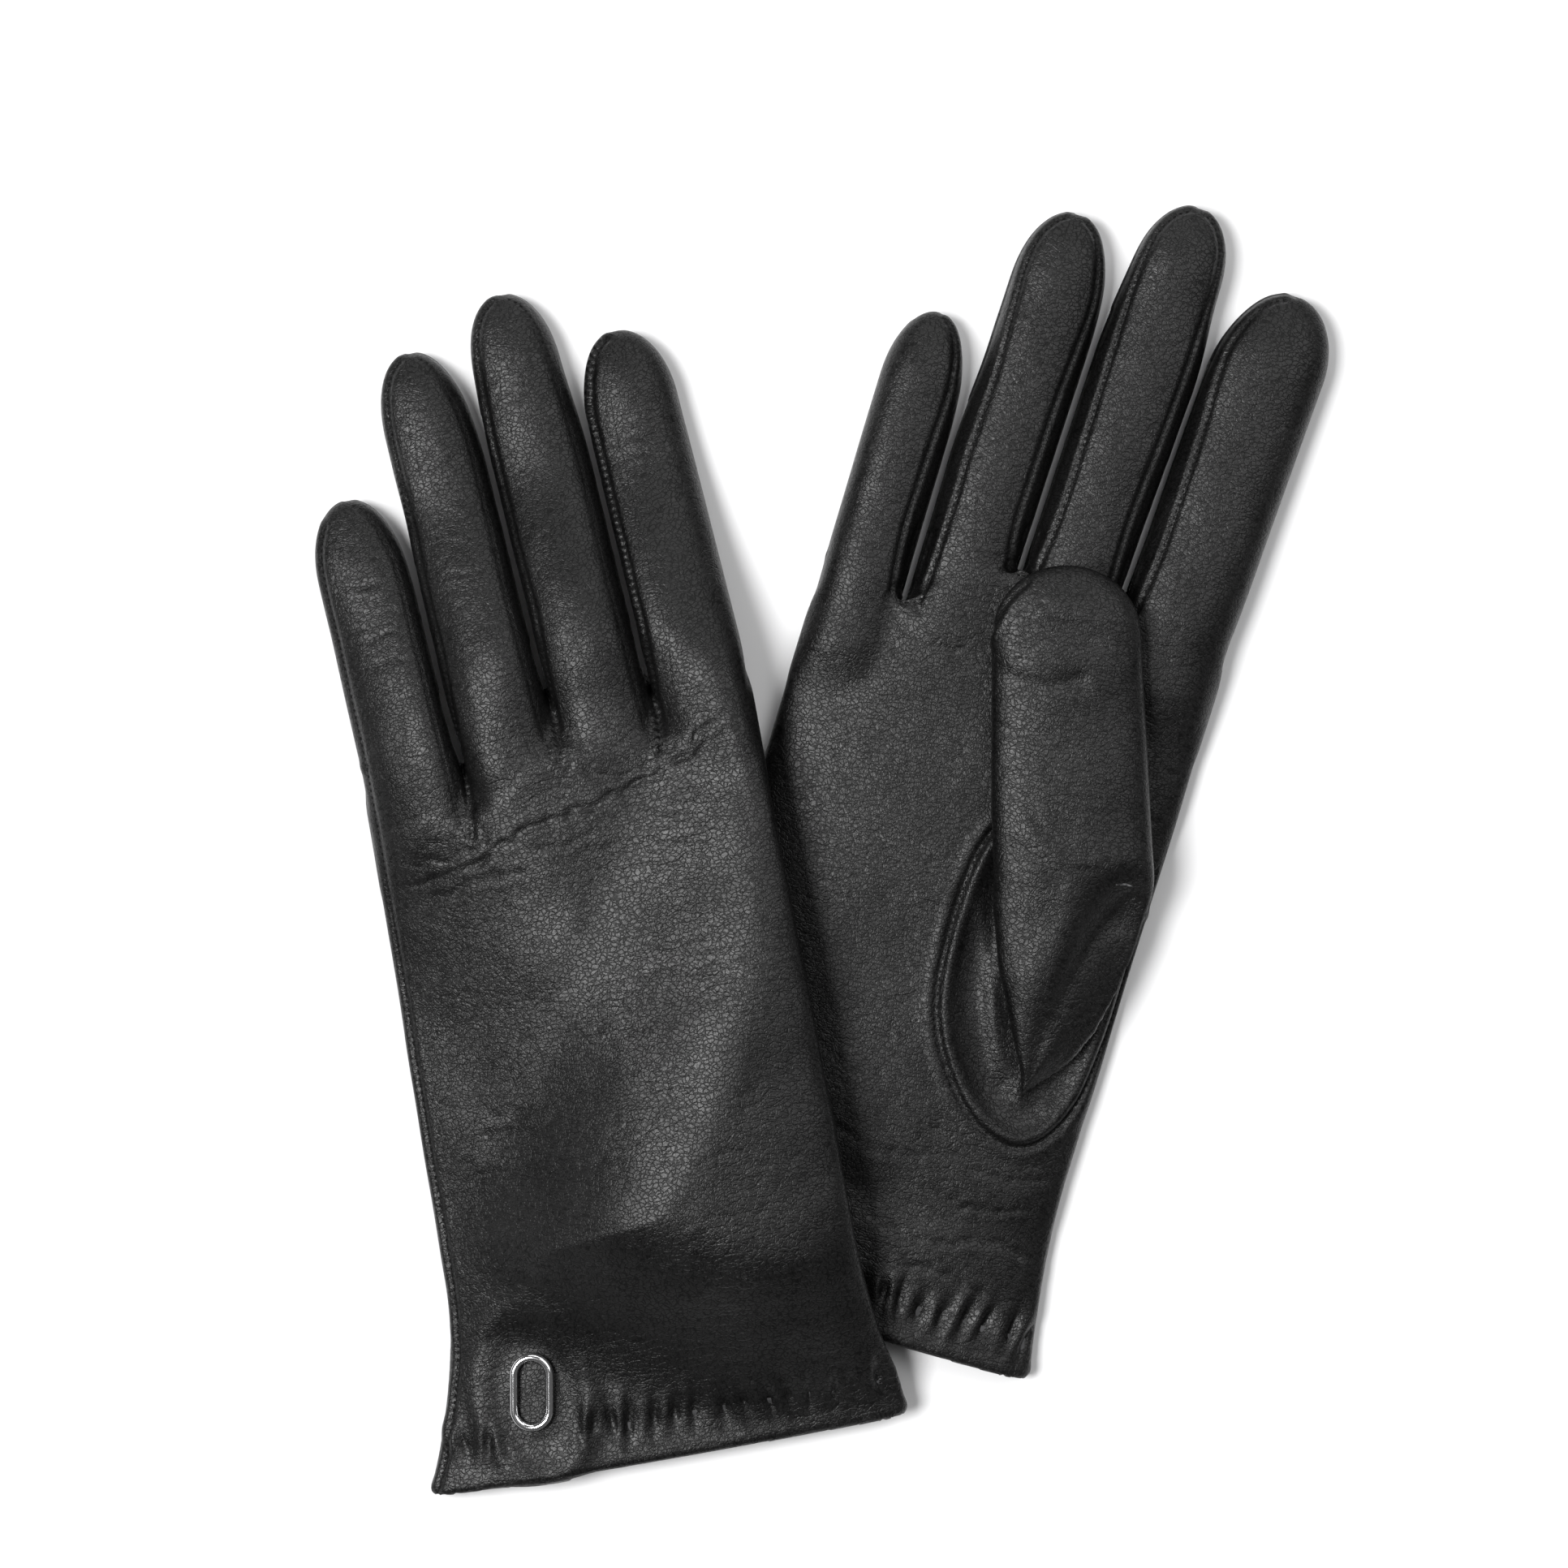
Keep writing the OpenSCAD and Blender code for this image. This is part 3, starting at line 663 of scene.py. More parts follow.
def skin_distance(glove, points, side_wall, wall):
    """Distance of points from the laid hand's outline, or from the outline of a hollow within it."""
    def outline(u, v, h):
        half = hand_width(np.clip(v, 0, None), glove["knuckle_w"]) - side_wall
        return level(u - hand_shift(v), h - wall, half, hand_thick(v) - 2 * wall)

    step = 0.05
    u, v, h = points.T
    across = (outline(u + step, v, h) - outline(u - step, v, h)) / (2 * step)
    upward = (outline(u, v, h + step) - outline(u, v, h - step)) / (2 * step)
    return np.abs(outline(u, v, h) - 1) / np.maximum(np.hypot(across, upward), 1e-6)


def lined(glove, points):
    """Which points are on the inner face of the cuff and the hand."""
    inner = skin_distance(glove, points, SIDE_WALL, WALL) < skin_distance(glove, points, 0, 0)
    return inner & (points[:, 1] < CAVITY_DEPTH + 4)


def press_glove(glove, points, quads, inside, seed):
    """Presses seams, creases and gathers into a glove, leather and lining alike.
    Returns the points, and each one's place on a seam."""
    out = normals(points, quads)
    uv = points[:, :2]
    out[inside] *= -1
    top = out[:, 2] > 0
    back = top if glove["back_up"] else ~top
    back_skin, palm_skin = back & ~inside, ~back & ~inside
    flat = np.abs(out[:, 2]) ** 0.5
    push = waves(uv, seed, 0.16) * flat * smooth(uv[:, 1] / 20)
    seam_place = np.tile((9.0, 0.0, 0.0), (len(points), 1))

    wander = np.stack([waves(uv, seed + k, 0.55, 7, 3, 10) for k in (31, 32)], 1)
    creases = hand_creases(seed + 1)
    for f in range(4):
        creases += finger_creases(glove, f, seed + 9 + f)
    for line in creases:
        face = np.nonzero(back_skin if line["back"] else palm_skin)[0]
        found, d, along = near_line(uv[face] + wander[face], line["line"], 4 * line["width"])
        length = np.hypot(*np.diff(line["line"], axis=0).T).sum()
        fade = smooth(np.minimum(along, length - along) / 4)
        w = line["width"]
        shape = -bell(d, w * 0.7) + 0.3 * bell(np.abs(d) - 1.9 * w, 1.1 * w)
        at = face[found]
        push[at] += line["depth"] * shape * fade * flat[at] * uneven(along, line["line"][0, 0])

    for side in (True, False):
        face = np.nonzero(back_skin if side else palm_skin)[0]
        seams = [s for f in range(4) for s in finger_seams(glove, f, side)]
        if side:
            seams = seams + side_seam(glove)
        for seam in seams:
            found, d, along = near_line(uv[face], seam["line"], 4.0)
            at = face[found]
            d = d * seam["outward"]
            pucker = seam["pucker"]
            if seam["flat"]:
                push[at] += -0.22 * bell(d, 0.45) - 0.22 * smooth((d - 0.2) / 0.8)
            else:
                lip = 0.14 + 0.3 * pucker
                push[at] += -0.4 * bell(d, 0.5) + lip * bell(d - 1.05, 0.6) + 0.1 * bell(d + 1.1, 0.8)
            if not side:
                push[at] -= 0.3 * smooth((d - 0.4) / 2.4)
            closer = np.abs(d) < np.abs(seam_place[at, 0])
            seam_place[at[closer]] = np.stack([d, along, np.full(len(d), pucker)], 1)[closer]

    palm = np.nonzero(palm_skin)[0]
    found, d, along = near_line(uv[palm], oval_line(), 12.0)
    at = palm[found]
    within = d > 0
    push[at] += -0.8 * bell(d, 0.55) + np.where(within, 0.9 * bell(d - 1.5, 1.5), 0.25 * bell(d + 1.7, 1.2))
    push[at] -= np.where(within, 0.9 * smooth((d - 2) / 5) * smooth((12 - d) / 4), 0)
    push[palm] -= 0.8 * bell(beyond(*uv[palm].T, (9, 90), (22, 60), 3), 4)

    v = uv[:, 1]
    push += 1.0 * gathers(uv, seed + 2) * smooth(flat * 1.6) - 0.45 * bell(v - 9, 4.0) * flat
    push -= 0.6 * bell(v - 28, 5.0) * flat
    push += np.where(inside, 0, 0.35 * bell(v - 1.5, 2.0))
    if glove["back_up"]:
        du, dv = uv[:, 0] - RING_AT[0], v - RING_AT[1]
        r = np.hypot(du / (RING_SIZE[0] / 2 + 1.5), dv / (RING_SIZE[1] / 2 + 1.5))
        around = smooth((1.9 - r) / 0.5) * back
        push = push * (1 - around)
        push += back * (0.9 * bell(r - 1.9, 0.38) - 0.25 * bell(r - 1.05, 0.3))
    pressed = points + out * push[:, None]
    pressed[:, 2] = np.maximum(pressed[:, 2], 0.03)
    return pressed, seam_place


TIP_SEAM = [(-6.2, 141), (-5.4, 146), (-4.0, 151), (-1.5, 155.5)]    # at the thumb's tip


def press_thumb(points, quads, seed):
    """The same for a thumb."""
    out = normals(points, quads)
    uv = points[:, :2]
    top = (out[:, 2] > 0.1) * np.abs(out[:, 2]) ** 0.5
    push = waves(uv, seed, 0.16) * top
    for line, depth, width in (
        ([(-6, 139), (0, 136.5), (8, 137), (14, 140)], 0.3, 2.2),
        ([(-4, 128), (4, 126), (12, 128)], 0.12, 1.0),
        ([(6, 101), (13, 104), (22, 100)], 0.16, 1.6),
        ([(28.4, 60), (28.6, 70), (31.5, 88), (36.5, 101)], 0.9, 3.6),
        ([(12, 112), (18, 108), (26, 107)], 0.12, 1.2),
        ([(2, 147), (8, 149), (14, 148)], 0.3, 3.2),
    ):
        found, d, along = near_line(uv, curve(line), 4 * width)
        shape = -bell(d, width * 0.7) + 0.4 * bell(np.abs(d) - 1.8 * width, width)
        push[found] += depth * shape * top[found]
    draw = np.random.default_rng(seed + 5)
    for _ in range(26):
        v = draw.uniform(70, 156)
        u = np.interp(v, (70, 103, 156), (27, 22, 6)) + draw.uniform(-8, 8)
        reach, tilt = draw.uniform(2, 6), draw.uniform(-0.4, 0.3)
        middle = (u, v + draw.uniform(-0.6, 0.6))
        line = curve([(u - reach, v - tilt * reach), middle, (u + reach, v + tilt * reach)])
        found, d, along = near_line(uv, line, 3)
        fade = smooth(np.minimum(along, 2 * reach - along) / 2.5)
        shape = -bell(d, 0.5) + 0.4 * bell(np.abs(d) - 1.2, 0.7)
        push[found] += draw.uniform(0.03, 0.09) * shape * top[found] * fade
    found, d, along = near_line(uv, curve(TIP_SEAM), 3)
    push[found] += -0.4 * bell(d, 0.5) + 0.3 * bell(d + 1.1, 0.6)
    seam_place = np.tile((9.0, 0.0, 0.0), (len(points), 1))
    seam_place[found] = np.stack([d, along, np.full(len(d), 0.2)], 1)
    return points + out * push[:, None], seam_place


# ---------------------------------------------------------------- pieces
def new_piece(name, points, faces, material, out=None, rest=None, seam=None):
    """A mesh piece, with what its material reads: its points' places in the flat frame and on a seam."""
    mesh = bpy.data.meshes.new(name)
    mesh.from_pydata(np.asarray(points, float), [], np.asarray(faces).tolist())
    mesh.polygons.foreach_set("use_smooth", np.ones(len(mesh.polygons), bool))
    for label, values in (("rest", rest), ("seam", seam)):
        if values is not None:
            layer = mesh.attributes.new(label, "FLOAT_VECTOR", "POINT")
            layer.data.foreach_set("vector", values.astype("f").ravel())
    if out is not None:
        mesh.normals_split_custom_set_from_vertices(out.tolist())
    piece = bpy.data.objects.new(name, mesh)
    bpy.context.scene.collection.objects.link(piece)
    mesh.materials.append(material)
    return piece


def part_of(quads, chosen, *layers):
    """The chosen quads, numbered anew, and the rows of each layer that they use."""
    used, faces = np.unique(quads[chosen], return_inverse=True)
    return faces.reshape(-1, 4), [layer[used] for layer in layers]


def ring_section(half, thick, lift, crown, belly, count=28):
    """Points around a laid section: (across, height)."""
    a = 2 * math.pi * np.arange(count) / count
    c, s = np.cos(a), np.sin(a)
    power = np.where(s >= 0, 2 / crown, 2 / belly)
    x = half * np.sign(c) * np.abs(c) ** power
    share = np.where(s >= 0, 1 - CENTRE_SHARE, CENTRE_SHARE)
    h = thick * (CENTRE_SHARE + share * np.sign(s) * np.abs(s) ** power)
    return x, np.maximum(h, FLAT_SHARE * thick) - FLAT_SHARE * thick + lift


def knit_sleeve(rings_out, rings_in):
    """Points and quads of a closed-ended sleeve with a wall, from its outer and inner rings."""
    n, m = len(rings_out[0]), len(rings_out)
    points = np.concatenate([*rings_out, *rings_in])
    faces = []
    for first, flip in ((0, False), (n * m, True)):
        for k in range(m - 1):
            for i in range(n):
                j, row = (i + 1) % n, first + k * n
                quad = [row + i, row + j, row + n + j, row + n + i]
                faces.append(quad[::-1] if flip else quad)
    for i in range(n):
        j = (i + 1) % n
        faces.append([j, i, n * m + i, n * m + j])
        faces.append([n * (m - 1) + i, n * (m - 1) + j, n * (2 * m - 1) + j, n * (2 * m - 1) + i])
    return points, np.array(faces)


def sleeve_rows(start, straight, tip):
    """Places along a sleeve, and how much of its width is left at each one."""
    rows = [(s, 1.0) for s in np.linspace(start, straight, 14)]
    return rows + [(straight + tip * k, (1 - k ** TIP_POWER) ** (1 / TIP_POWER)) for k in (0.4, 0.75, 0.95)]


def finger_lining(glove, f):
    length = FINGER_LENGTH[f]
    rings = []
    for wall in LINING_WALLS:
        rows = []
        for s, shrink in sleeve_rows(-9, length - TIP_ROUND, TIP_ROUND - wall):
            sunk = 1 - 0.2 * smooth(-s / 18)
            whole = FINGER_T * (1 - 0.1 * max(s, 0) / length) * sunk
            thick = (whole - 2 * wall) * shrink
            half = (finger_half(glove, f, s) - wall) * shrink
            x, h = ring_section(half, thick, (whole - thick) / 2, 2.7, 3.4)
            u, v = on_finger(glove, f, x, s)
            rows.append(np.stack([u, v, h], 1))
        rings.append(rows)
    return knit_sleeve(*rings)


def thumb_lining():
    rings = []
    for wall in LINING_WALLS:
        rows = []
        for s, shrink in sleeve_rows(-2, THUMB_STRAIGHT, THUMB_TIP - wall):
            turn = THUMB_LEAN * smooth((s + 14) / 22)
            narrow = (1 - np.clip((4 - s) / 50, 0, 1)) ** 0.6
            taper = 1 - TAPER * max(s, 0) / THUMB_LENGTH
            whole = THUMB_T * taper * (0.25 + 0.75 * narrow)
            thick = (whole - 2 * wall) * shrink
            half = (LINING_HALF * narrow * taper - wall) * shrink
            x, h = ring_section(half, thick, (whole - thick) / 2, 2.6, 3.2)
            u = THUMB_OFFSET - s * math.sin(turn) + x * math.cos(turn)
            v = THUMB_CREASE + s * math.cos(turn) + x * math.sin(turn)
            rows.append(np.stack([u, v, h], 1))
        rings.append(rows)
    return knit_sleeve(*rings)


# ---------------------------------------------------------------- stitches
STITCH_LENGTH, STITCH_R = 1.05, 0.2


def stitch_shape():
    """A short thread, along x, that dips at both ends."""
    rows, sides = 5, 6
    points, faces = [], []
    for k in range(rows):
        x = -0.5 + k / (rows - 1)
        r = STITCH_R * (1, 1, 0.75)[abs(k - 2)]
        lift = -0.05 - 0.9 * x * x
        for i in range(sides):
            a = 2 * math.pi * i / sides
            points.append((x * STITCH_LENGTH, r * math.cos(a), r * math.sin(a) + lift))
    for k in range(rows - 1):
        for i in range(sides):
            j = (i + 1) % sides
            faces.append((k * sides + i, k * sides + j, (k + 1) * sides + j, (k + 1) * sides + i))
    last = sides * (rows - 1)
    faces += [(0, 3, 2, 1), (0, 5, 4, 3), (last, last + 1, last + 2, last + 3), (last, last + 3, last + 4, last + 5)]
    return np.array(points), np.array(faces)


def sew(tree, line, upward):
    """Stitches along a line on a surface's tree: (u, v) of each one, and its points in the flat frame."""
    shape, _ = stitch_shape()
    steps = np.hypot(*np.diff(line, axis=0).T)
    along = np.concatenate([[0], np.cumsum(steps)])
    found = []
    for s in np.arange(STITCH / 2, along[-1], STITCH):
        u, v = np.interp(s, along, line[:, 0]), np.interp(s, along, line[:, 1])
        ahead = min(s + 0.3, along[-1])
        du, dv = np.interp(ahead, along, line[:, 0]) - u, np.interp(ahead, along, line[:, 1]) - v
        start = Vector((u, v, 30 if upward else -20))
        hit, out, _, _ = tree.ray_cast(start, Vector((0, 0, -1 if upward else 1)))
        if hit is None or abs(out.z) < 0.15:
            continue
        if (out.z > 0) != upward:
            out = -out
        run = Vector((du, dv, 0))
        run = (run - out * run.dot(out)).normalized()
        side = out.cross(run)
        axes = np.array([run, side, out])
        spot = np.array(hit) + shape @ axes
        spot[:, 2] += max(0.0, -spot[:, 2].min())
        found.append(((u, v), spot))
    return found


def join_stitches(spots):
    _, faces = stitch_shape()
    count = len(spots[0])
    return np.concatenate(spots), np.concatenate([faces + k * count for k in range(len(spots))])


# ---------------------------------------------------------------- materials
def new_material(name, **sockets):
    """A material with these constants on its shader. Returns it, its nodes' tree and the shader."""
    material = bpy.data.materials.new(name)
    material.use_nodes = True
    tree = material.node_tree
    shader = tree.nodes["Principled BSDF"]
    for socket, value in sockets.items():
        shader.inputs[socket.replace("_", " ")].default_value = value
    return material, tree, shader


def node(tree, kind, *inputs, **settings):
    """A node whose inputs, in order, are constants, other nodes' sockets, or None to leave one as it is."""
    made = tree.nodes.new("ShaderNode" + kind)
    for key, value in settings.items():
        setattr(made, key, value)
    for socket, value in zip(made.inputs, inputs):
        if isinstance(value, bpy.types.NodeSocket):
            tree.links.new(value, socket)
        elif value is not None:
            socket.default_value = value
    return made


def maths(tree, operation, a, b=None, c=None):
    return node(tree, "Math", a, b, c, operation=operation).outputs[0]


def scaled(tree, vector, scale):
    return node(tree, "VectorMath", vector, scale, operation="MULTIPLY").outputs[0]


def texture(tree, kind, vector, scale, **settings):
    made = node(tree, "Tex" + kind, **settings)
    tree.links.new(vector, made.inputs["Vector"])
    made.inputs["Scale"].default_value = scale
    return made


def noise(tree, vector, scale, detail=2.0, rough=0.5, output="Fac"):
    made = texture(tree, "Noise", vector, scale)
    made.inputs["Detail"].default_value = detail
    made.inputs["Roughness"].default_value = rough
    return made.outputs[output]


def cells(tree, vector, scale):
    """Distance to the edge of the nearest cell."""
    return texture(tree, "Voronoi", vector, scale, feature="DISTANCE_TO_EDGE").outputs["Distance"]


def remap(tree, value, low, high, to_low=0.0, to_high=1.0):
    made = node(tree, "MapRange", value, low, high, to_low, to_high, interpolation_type="SMOOTHSTEP")
    return made.outputs[0]


def two_tone(tree, shader, share, dark, light):
    """A base colour between two others."""
    mixed = node(tree, "Mix", data_type="RGBA")
    tree.links.new(share, mixed.inputs["Factor"])
    mixed.inputs[6].default_value = (*dark, 1)
    mixed.inputs[7].default_value = (*light, 1)
    tree.links.new(mixed.outputs[2], shader.inputs["Base Color"])


def bump(tree, shader, height):
    """Bump from a height in millimetres."""
    made = node(tree, "Bump")
    made.inputs["Strength"].default_value = 1.0
    made.inputs["Distance"].default_value = MM
    tree.links.new(height, made.inputs["Height"])
    tree.links.new(made.outputs["Normal"], shader.inputs["Normal"])


def leather_material():
    """Thin black nappa: a crackle of small plates, fine lines across the glove, and puckers at its seams."""
    material, tree, shader = new_material("nappa", Specular_IOR_Level=0.3, IOR=1.5)
    rest = node(tree, "Attribute", attribute_name="rest").outputs["Vector"]
    warp = noise(tree, rest, 0.55, 3.0, output="Color")
    drift = node(tree, "VectorMath", warp, (0.5, 0.5, 0.5), operation="SUBTRACT").outputs[0]
    drift = scaled(tree, drift, (1.6, 1.6, 1.6))
    place = node(tree, "VectorMath", rest, drift, operation="ADD").outputs[0]
    plates = remap(tree, cells(tree, scaled(tree, place, (1.0, 1.3, 1.0)), 0.95), 0.0, 0.16)
    small = remap(tree, cells(tree, place, 2.1), 0.0, 0.25)
    across = remap(tree, cells(tree, scaled(tree, place, (0.3, 0.85, 0.5)), 0.62), 0.0, 0.1)
    worn = remap(tree, noise(tree, rest, 0.07), 0.38, 0.62)
    lines = maths(tree, "MULTIPLY", maths(tree, "SUBTRACT", across, 1.0), worn)
    height = maths(tree, "MULTIPLY", plates, 0.034)
    height = maths(tree, "MULTIPLY_ADD", small, 0.014, height)
    height = maths(tree, "MULTIPLY_ADD", lines, 0.05, height)
    height = maths(tree, "MULTIPLY_ADD", noise(tree, rest, 0.16), 0.3, height)
    parts = node(tree, "SeparateXYZ", node(tree, "Attribute", attribute_name="seam").outputs["Vector"])
    away, along, pull = parts.outputs
    turns = maths(tree, "MULTIPLY", along, 2 * math.pi / STITCH)
    lip = remap(tree, maths(tree, "ABSOLUTE", maths(tree, "SUBTRACT", away, 0.9)), 1.0, 0.1)
    pucker = maths(tree, "MULTIPLY", maths(tree, "MULTIPLY", maths(tree, "SINE", turns), lip), pull)
    height = maths(tree, "MULTIPLY_ADD", pucker, 0.12, height)
    bump(tree, shader, height)
    shade = remap(tree, maths(tree, "MULTIPLY_ADD", worn, 0.4, plates), 0.0, 1.4)
    two_tone(tree, shader, shade, (0.0008, 0.0008, 0.0008), (0.0052, 0.0051, 0.0051))
    tree.links.new(remap(tree, shade, 0.0, 1.0, 0.22, 0.36), shader.inputs["Specular IOR Level"])
    gloss = noise(tree, rest, 0.12, 4.0)
    rough = maths(tree, "MULTIPLY_ADD", gloss, 0.16, 0.36)
    rough = maths(tree, "MULTIPLY_ADD", plates, -0.06, rough)
    tree.links.new(rough, shader.inputs["Roughness"])
    return material


def knit_material():
    """Fine black knit: columns of small loops."""
    material, tree, shader = new_material("knit", Roughness=0.85, Sheen_Weight=0.35, Sheen_Roughness=0.5,
                                          Specular_IOR_Level=0.2)
    rest = node(tree, "Attribute", attribute_name="rest").outputs["Vector"]
    parts = node(tree, "SeparateXYZ", rest)
    column = maths(tree, "MULTIPLY", parts.outputs[0], 2 * math.pi / 1.1)
    row = maths(tree, "MULTIPLY", parts.outputs[1], 2 * math.pi / 0.8)
    ribs = maths(tree, "ABSOLUTE", maths(tree, "SINE", maths(tree, "MULTIPLY", column, 0.5)))
    loops = maths(tree, "SINE", maths(tree, "ADD", row, maths(tree, "MULTIPLY", ribs, 2.2)))
    height = maths(tree, "ADD", maths(tree, "MULTIPLY", loops, 0.07), maths(tree, "MULTIPLY", ribs, 0.12))
    fuzz = noise(tree, rest, 6.0, 3.0)
    bump(tree, shader, maths(tree, "MULTIPLY_ADD", fuzz, 0.06, height))
    shade = remap(tree, maths(tree, "ADD", loops, fuzz), -0.6, 1.6)
    two_tone(tree, shader, shade, (0.006, 0.006, 0.007), (0.03, 0.03, 0.032))
    return material


def thread_material():
    """Black polyester thread, with the light catching its twist."""
    material, tree, shader = new_material("thread", Roughness=0.7, Specular_IOR_Level=0.15)
    place = node(tree, "TexCoord").outputs["Object"]
    twist = texture(tree, "Wave", place, 900.0, bands_direction="DIAGONAL").outputs["Fac"]
    bump(tree, shader, maths(tree, "MULTIPLY", twist, 0.05))
    two_tone(tree, shader, twist, (0.0015, 0.0015, 0.0015), (0.006, 0.006, 0.006))
    return material


def webbing_material():
    """Ribbed elastic."""
    material, tree, shader = new_material("elastic_webbing", Roughness=0.7, Sheen_Weight=0.2)
    place = node(tree, "TexCoord").outputs["Object"]
    ribs = texture(tree, "Wave", place, 500.0, bands_direction="Z").outputs["Fac"]
    bump(tree, shader, maths(tree, "MULTIPLY", ribs, 0.1))
    two_tone(tree, shader, ribs, (0.012, 0.012, 0.013), (0.04, 0.04, 0.042))
    return material


def metal_material(name, color, roughness, scratch):
    """Plated metal with faint marks of polishing or stamping."""
    material, tree, shader = new_material(name, Metallic=1.0, Base_Color=(*color, 1))
    place = node(tree, "TexCoord").outputs["Object"]
    marks = noise(tree, scaled(tree, place, (300, 1500, 900)), 1.0, 4.0, 0.7)
    rough = maths(tree, "MULTIPLY_ADD", marks, scratch, roughness)
    tree.links.new(rough, shader.inputs["Roughness"])
    bump(tree, shader, maths(tree, "MULTIPLY", marks, 0.004))
    return material


def floor_material():
    """White table top, with a faint unevenness of tone."""
    material, tree, shader = new_material("table", Roughness=0.7, Specular_IOR_Level=0.15)
    place = node(tree, "TexCoord").outputs["Object"]
    two_tone(tree, shader, noise(tree, place, 14.0), (0.88, 0.88, 0.885), (0.9, 0.9, 0.905))
    return material


LEATHER = leather_material()
KNIT = knit_material()
THREAD = thread_material()


# ---------------------------------------------------------------- the gloves
def build_glove(side, seed):
    glove = GLOVES[side]
    points, quads = glove_surface(glove)
    inside = lined(glove, points)
    points, seam = press_glove(glove, points, quads, inside, seed)
    inner = inside[quads].all(1)
    tree = BVHTree.FromPolygons(points.tolist(), quads.tolist())
    placed = laid(glove, points)
    out = normals(placed, quads)
    u, v = points[:, 0][quads].mean(1), points[:, 1][quads].mean(1)
    owner = np.full(len(quads), -1)
    nearest = np.full(len(quads), 1e9)
    for f in range(4):
        x, s = along_finger(glove, f, u, v)
        away = np.abs(x) / (glove["widths"][f] / 2)
        mine = (s > -HINGE_BEFORE - 1) & (away < nearest) & ~inner
        owner[mine], nearest[mine] = f, away[mine]

    hand_body = side + "_hand"
    deep = inner & (v > FACING_DEPTH)
    made = {}
    for name, chosen, material, slot in (
        ("hand_leather", (owner < 0) & ~inner, LEATHER, "leather"),
        ("cuff_facing", inner & ~deep, LEATHER, "leather"),
        ("hand_lining", deep, KNIT, "lining"),
    ):
        faces, (p, n, r, m) = part_of(quads, chosen, placed, out, points, seam)
        made[name] = new_piece(f"{side}_{name}", p, faces, material, n, r, m)
        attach(made[name], hand_body)
    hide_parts(f"{side}_hand_shell")
    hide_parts(f"{side}_cuff_facing")
    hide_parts(f"{side}_hand_lining")

    stitches = {f: [] for f in (-1, 0, 1, 2, 3)}
    for on_back in (True, False):
        upward = glove["back_up"] == on_back
        seams = [s["line"] for f in range(4) for s in finger_seams(glove, f, on_back)]
        seams += [s["line"] for s in side_seam(glove)] if on_back else [oval_line()]
        for line in seams:
            for (u, v), spot in sew(tree, line, upward):
                away = [abs(along_finger(glove, f, u, v)[0]) / glove["widths"][f] for f in range(4)]
                best = away.index(min(away))
                on = best if along_finger(glove, best, u, v)[1] > -HINGE_BEFORE - 1 else -1
                stitches[on].append(spot)
    for f, sewn in stitches.items():
        body = hand_body if f < 0 else f"{side}_{FINGERS[f]}"
        p, faces = join_stitches(sewn)
        name = f"{side}_hand_stitches" if f < 0 else f"{side}_{FINGERS[f]}_stitches"
        piece = new_piece(name, laid(glove, p), faces, THREAD)
        if f < 0:
            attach(piece, body)
        else:
            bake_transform(piece)

    for f, finger in enumerate(FINGERS):
        body = f"{side}_{finger}"
        faces, (p, n, r, m) = part_of(quads, owner == f, placed, out, points, seam)
        piece = new_piece(f"{side}_{finger}_leather", p, faces, LEATHER, n, r, m)
        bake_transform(piece)
        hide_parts(f"{side}_{finger}_sleeve", f"{side}_{finger}_fourchettes")
        p, faces = finger_lining(glove, f)
        piece = new_piece(f"{side}_{finger}_knit", laid(glove, p), faces, KNIT, rest=p)
        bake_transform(piece)
        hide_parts(f"{side}_{finger}_lining")


def build_thumb(side, seed):
    glove = GLOVES[side]
    points, quads = thumb_surface()
    points, seam = press_thumb(points, quads, seed)
    tree = BVHTree.FromPolygons(points.tolist(), quads.tolist())
    mirrored = glove["back_up"]
    if mirrored:
        quads = quads[:, ::-1]

    placed = laid(glove, points, over_palm=True)
    piece = new_piece(f"{side}_thumb_leather", placed, quads, LEATHER,
                      normals(placed, quads), points, seam)
    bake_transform(piece)
    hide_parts(f"{side}_thumb_base", f"{side}_thumb_sleeve")
    p, faces = thumb_lining()
    faces = faces[:, ::-1] if mirrored else faces
    piece = new_piece(f"{side}_thumb_knit", laid(glove, p, over_palm=True), faces, KNIT, rest=p)
    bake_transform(piece)
    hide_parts(f"{side}_thumb_lining")
    p, faces = join_stitches([spot for _, spot in sew(tree, curve(TIP_SEAM), True)])
    faces = faces[:, ::-1] if mirrored else faces
    piece = new_piece(f"{side}_thumb_stitches", laid(glove, p, over_palm=True), faces, THREAD)
    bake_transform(piece)


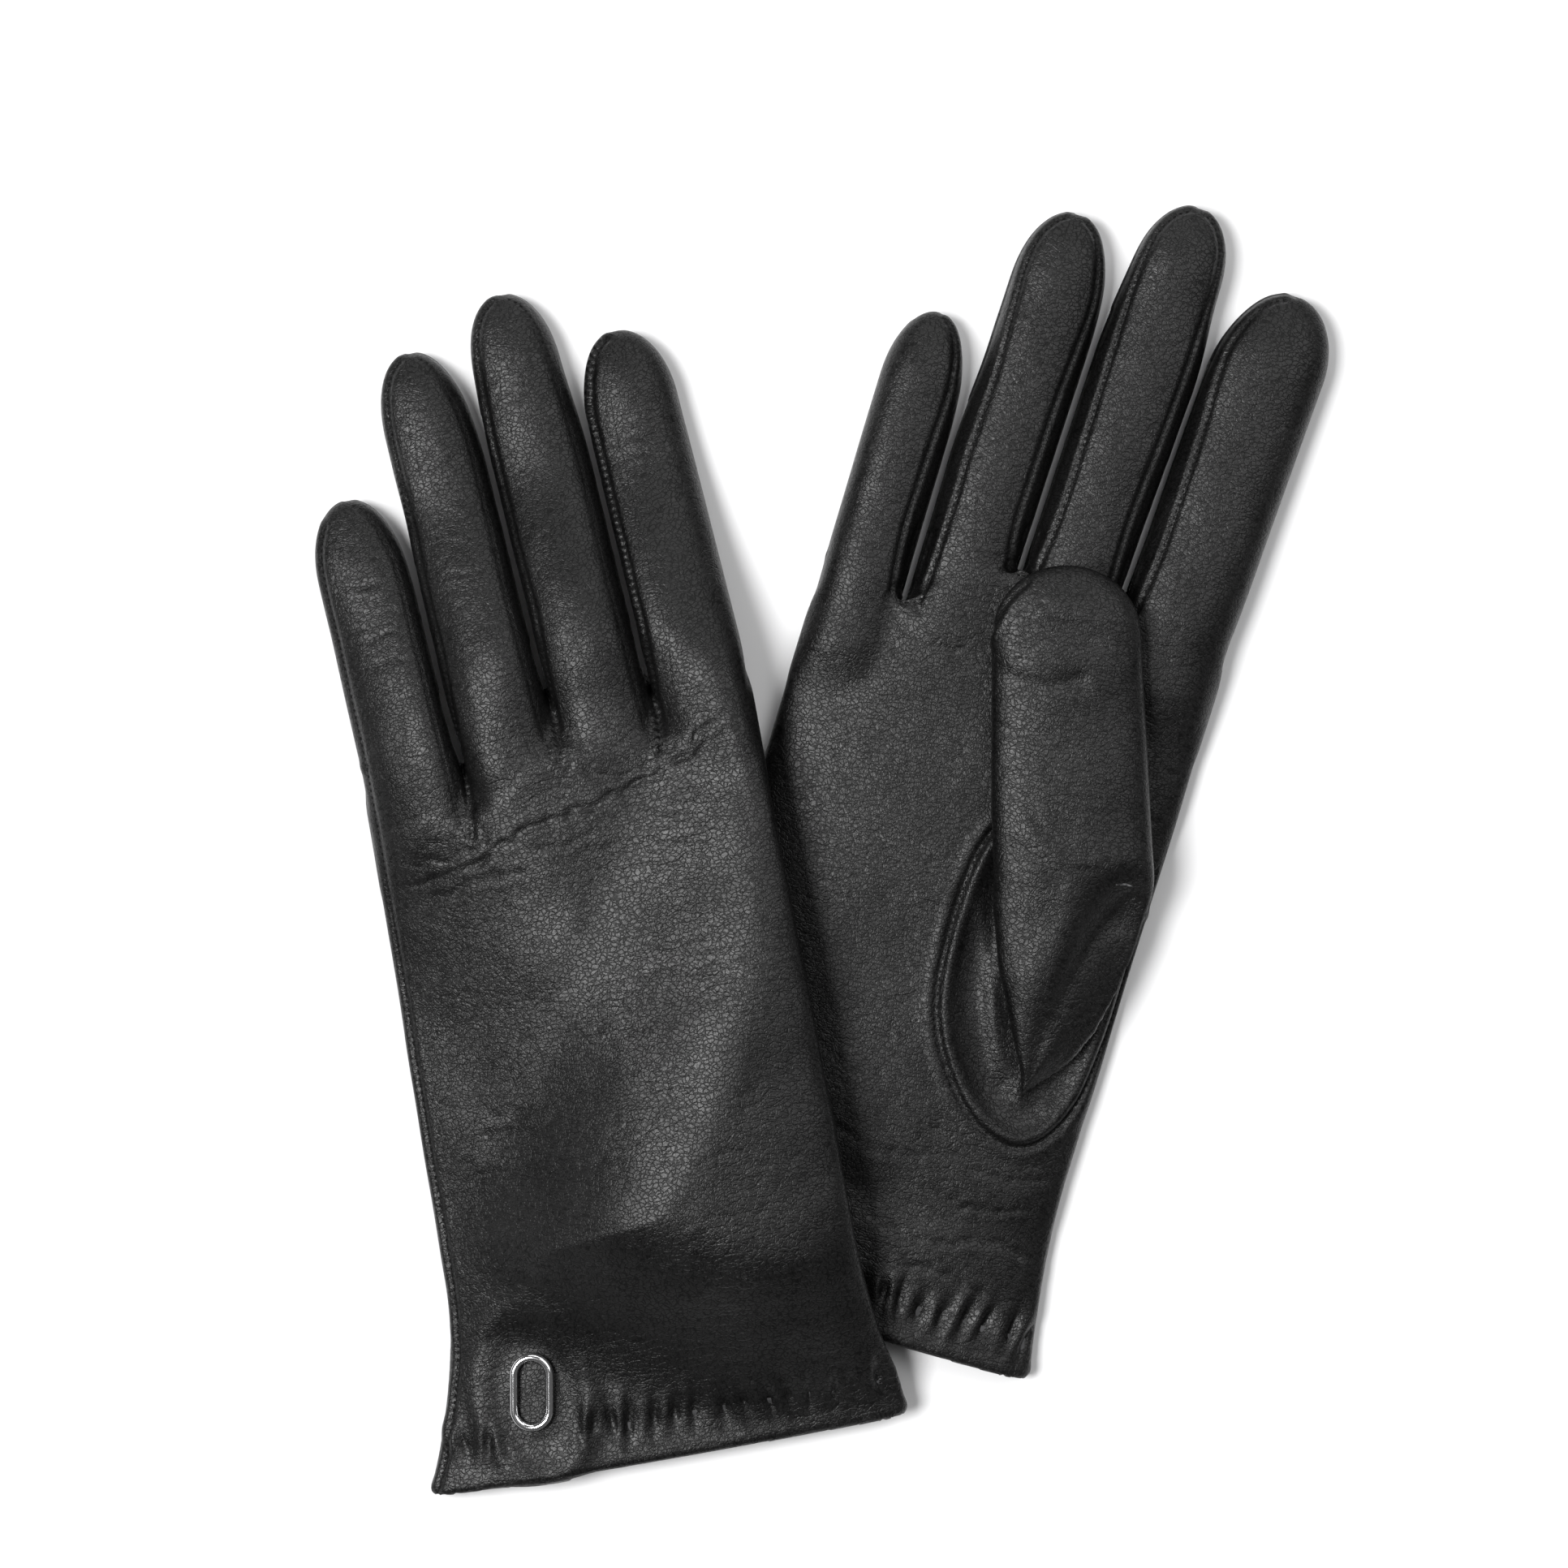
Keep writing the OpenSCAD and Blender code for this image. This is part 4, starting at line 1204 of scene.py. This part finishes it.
build_glove("left", 11)
build_glove("right", 42)
build_thumb("left", 7)
build_thumb("right", 23)


def finish_nodes():
    """Materials for the CAD nodes that stay as they are."""
    looks = {
        "ornament_ring": metal_material("polished_silver", (0.86, 0.86, 0.87), 0.07, 0.1),
        "ornament_washers": metal_material("plated_washer", (0.6, 0.6, 0.6), 0.25, 0.2),
    }
    webbing = webbing_material()
    looks["left_wrist_elastic"] = looks["right_wrist_elastic"] = webbing
    for name, material in looks.items():
        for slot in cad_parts[name].material_slots:
            slot.material = material


finish_nodes()


# ---------------------------------------------------------------- table, light and camera
def add_floor():
    mesh = bpy.data.meshes.new("table_top")
    reach = 3.0
    mesh.from_pydata([(-reach, -reach, 0), (reach, -reach, 0), (reach, reach, 0), (-reach, reach, 0)], [],
                     [(0, 1, 2, 3)])
    floor = bpy.data.objects.new("table_top", mesh)
    bpy.context.scene.collection.objects.link(floor)
    mesh.materials.append(floor_material())


def add_light(name, place, size, power):
    """A softbox that points at the middle of the table."""
    light = bpy.data.lights.new(name, "AREA")
    light.shape = "RECTANGLE"
    light.size, light.size_y = size
    light.energy = power
    lamp = bpy.data.objects.new(name, light)
    lamp.location = place
    lamp.rotation_euler = (-Vector(place)).to_track_quat("-Z", "Y").to_euler()
    bpy.context.scene.collection.objects.link(lamp)


def add_camera():
    data = bpy.data.cameras.new("camera")
    data.lens, data.sensor_width = 100, 36
    camera = bpy.data.objects.new("camera", data)
    camera.location = (-0.0079, 0.0138, 0.8936)
    bpy.context.scene.collection.objects.link(camera)
    bpy.context.scene.camera = camera


add_floor()
add_light("key", (-0.7, 0.02, 1.4), (0.6, 0.6), 28)
add_light("fill", (0.7, 0.5, 1.4), (1.0, 1.0), 9)
add_light("back", (0.1, 1.4, 0.9), (1.4, 0.5), 6)
world = bpy.data.worlds.new("studio")
world.use_nodes = True
backdrop = world.node_tree.nodes["Background"].inputs
backdrop["Color"].default_value = (1, 1, 1, 1)
backdrop["Strength"].default_value = 0.1
bpy.context.scene.world = world
bpy.context.scene.view_settings.view_transform = "Standard"
add_camera()
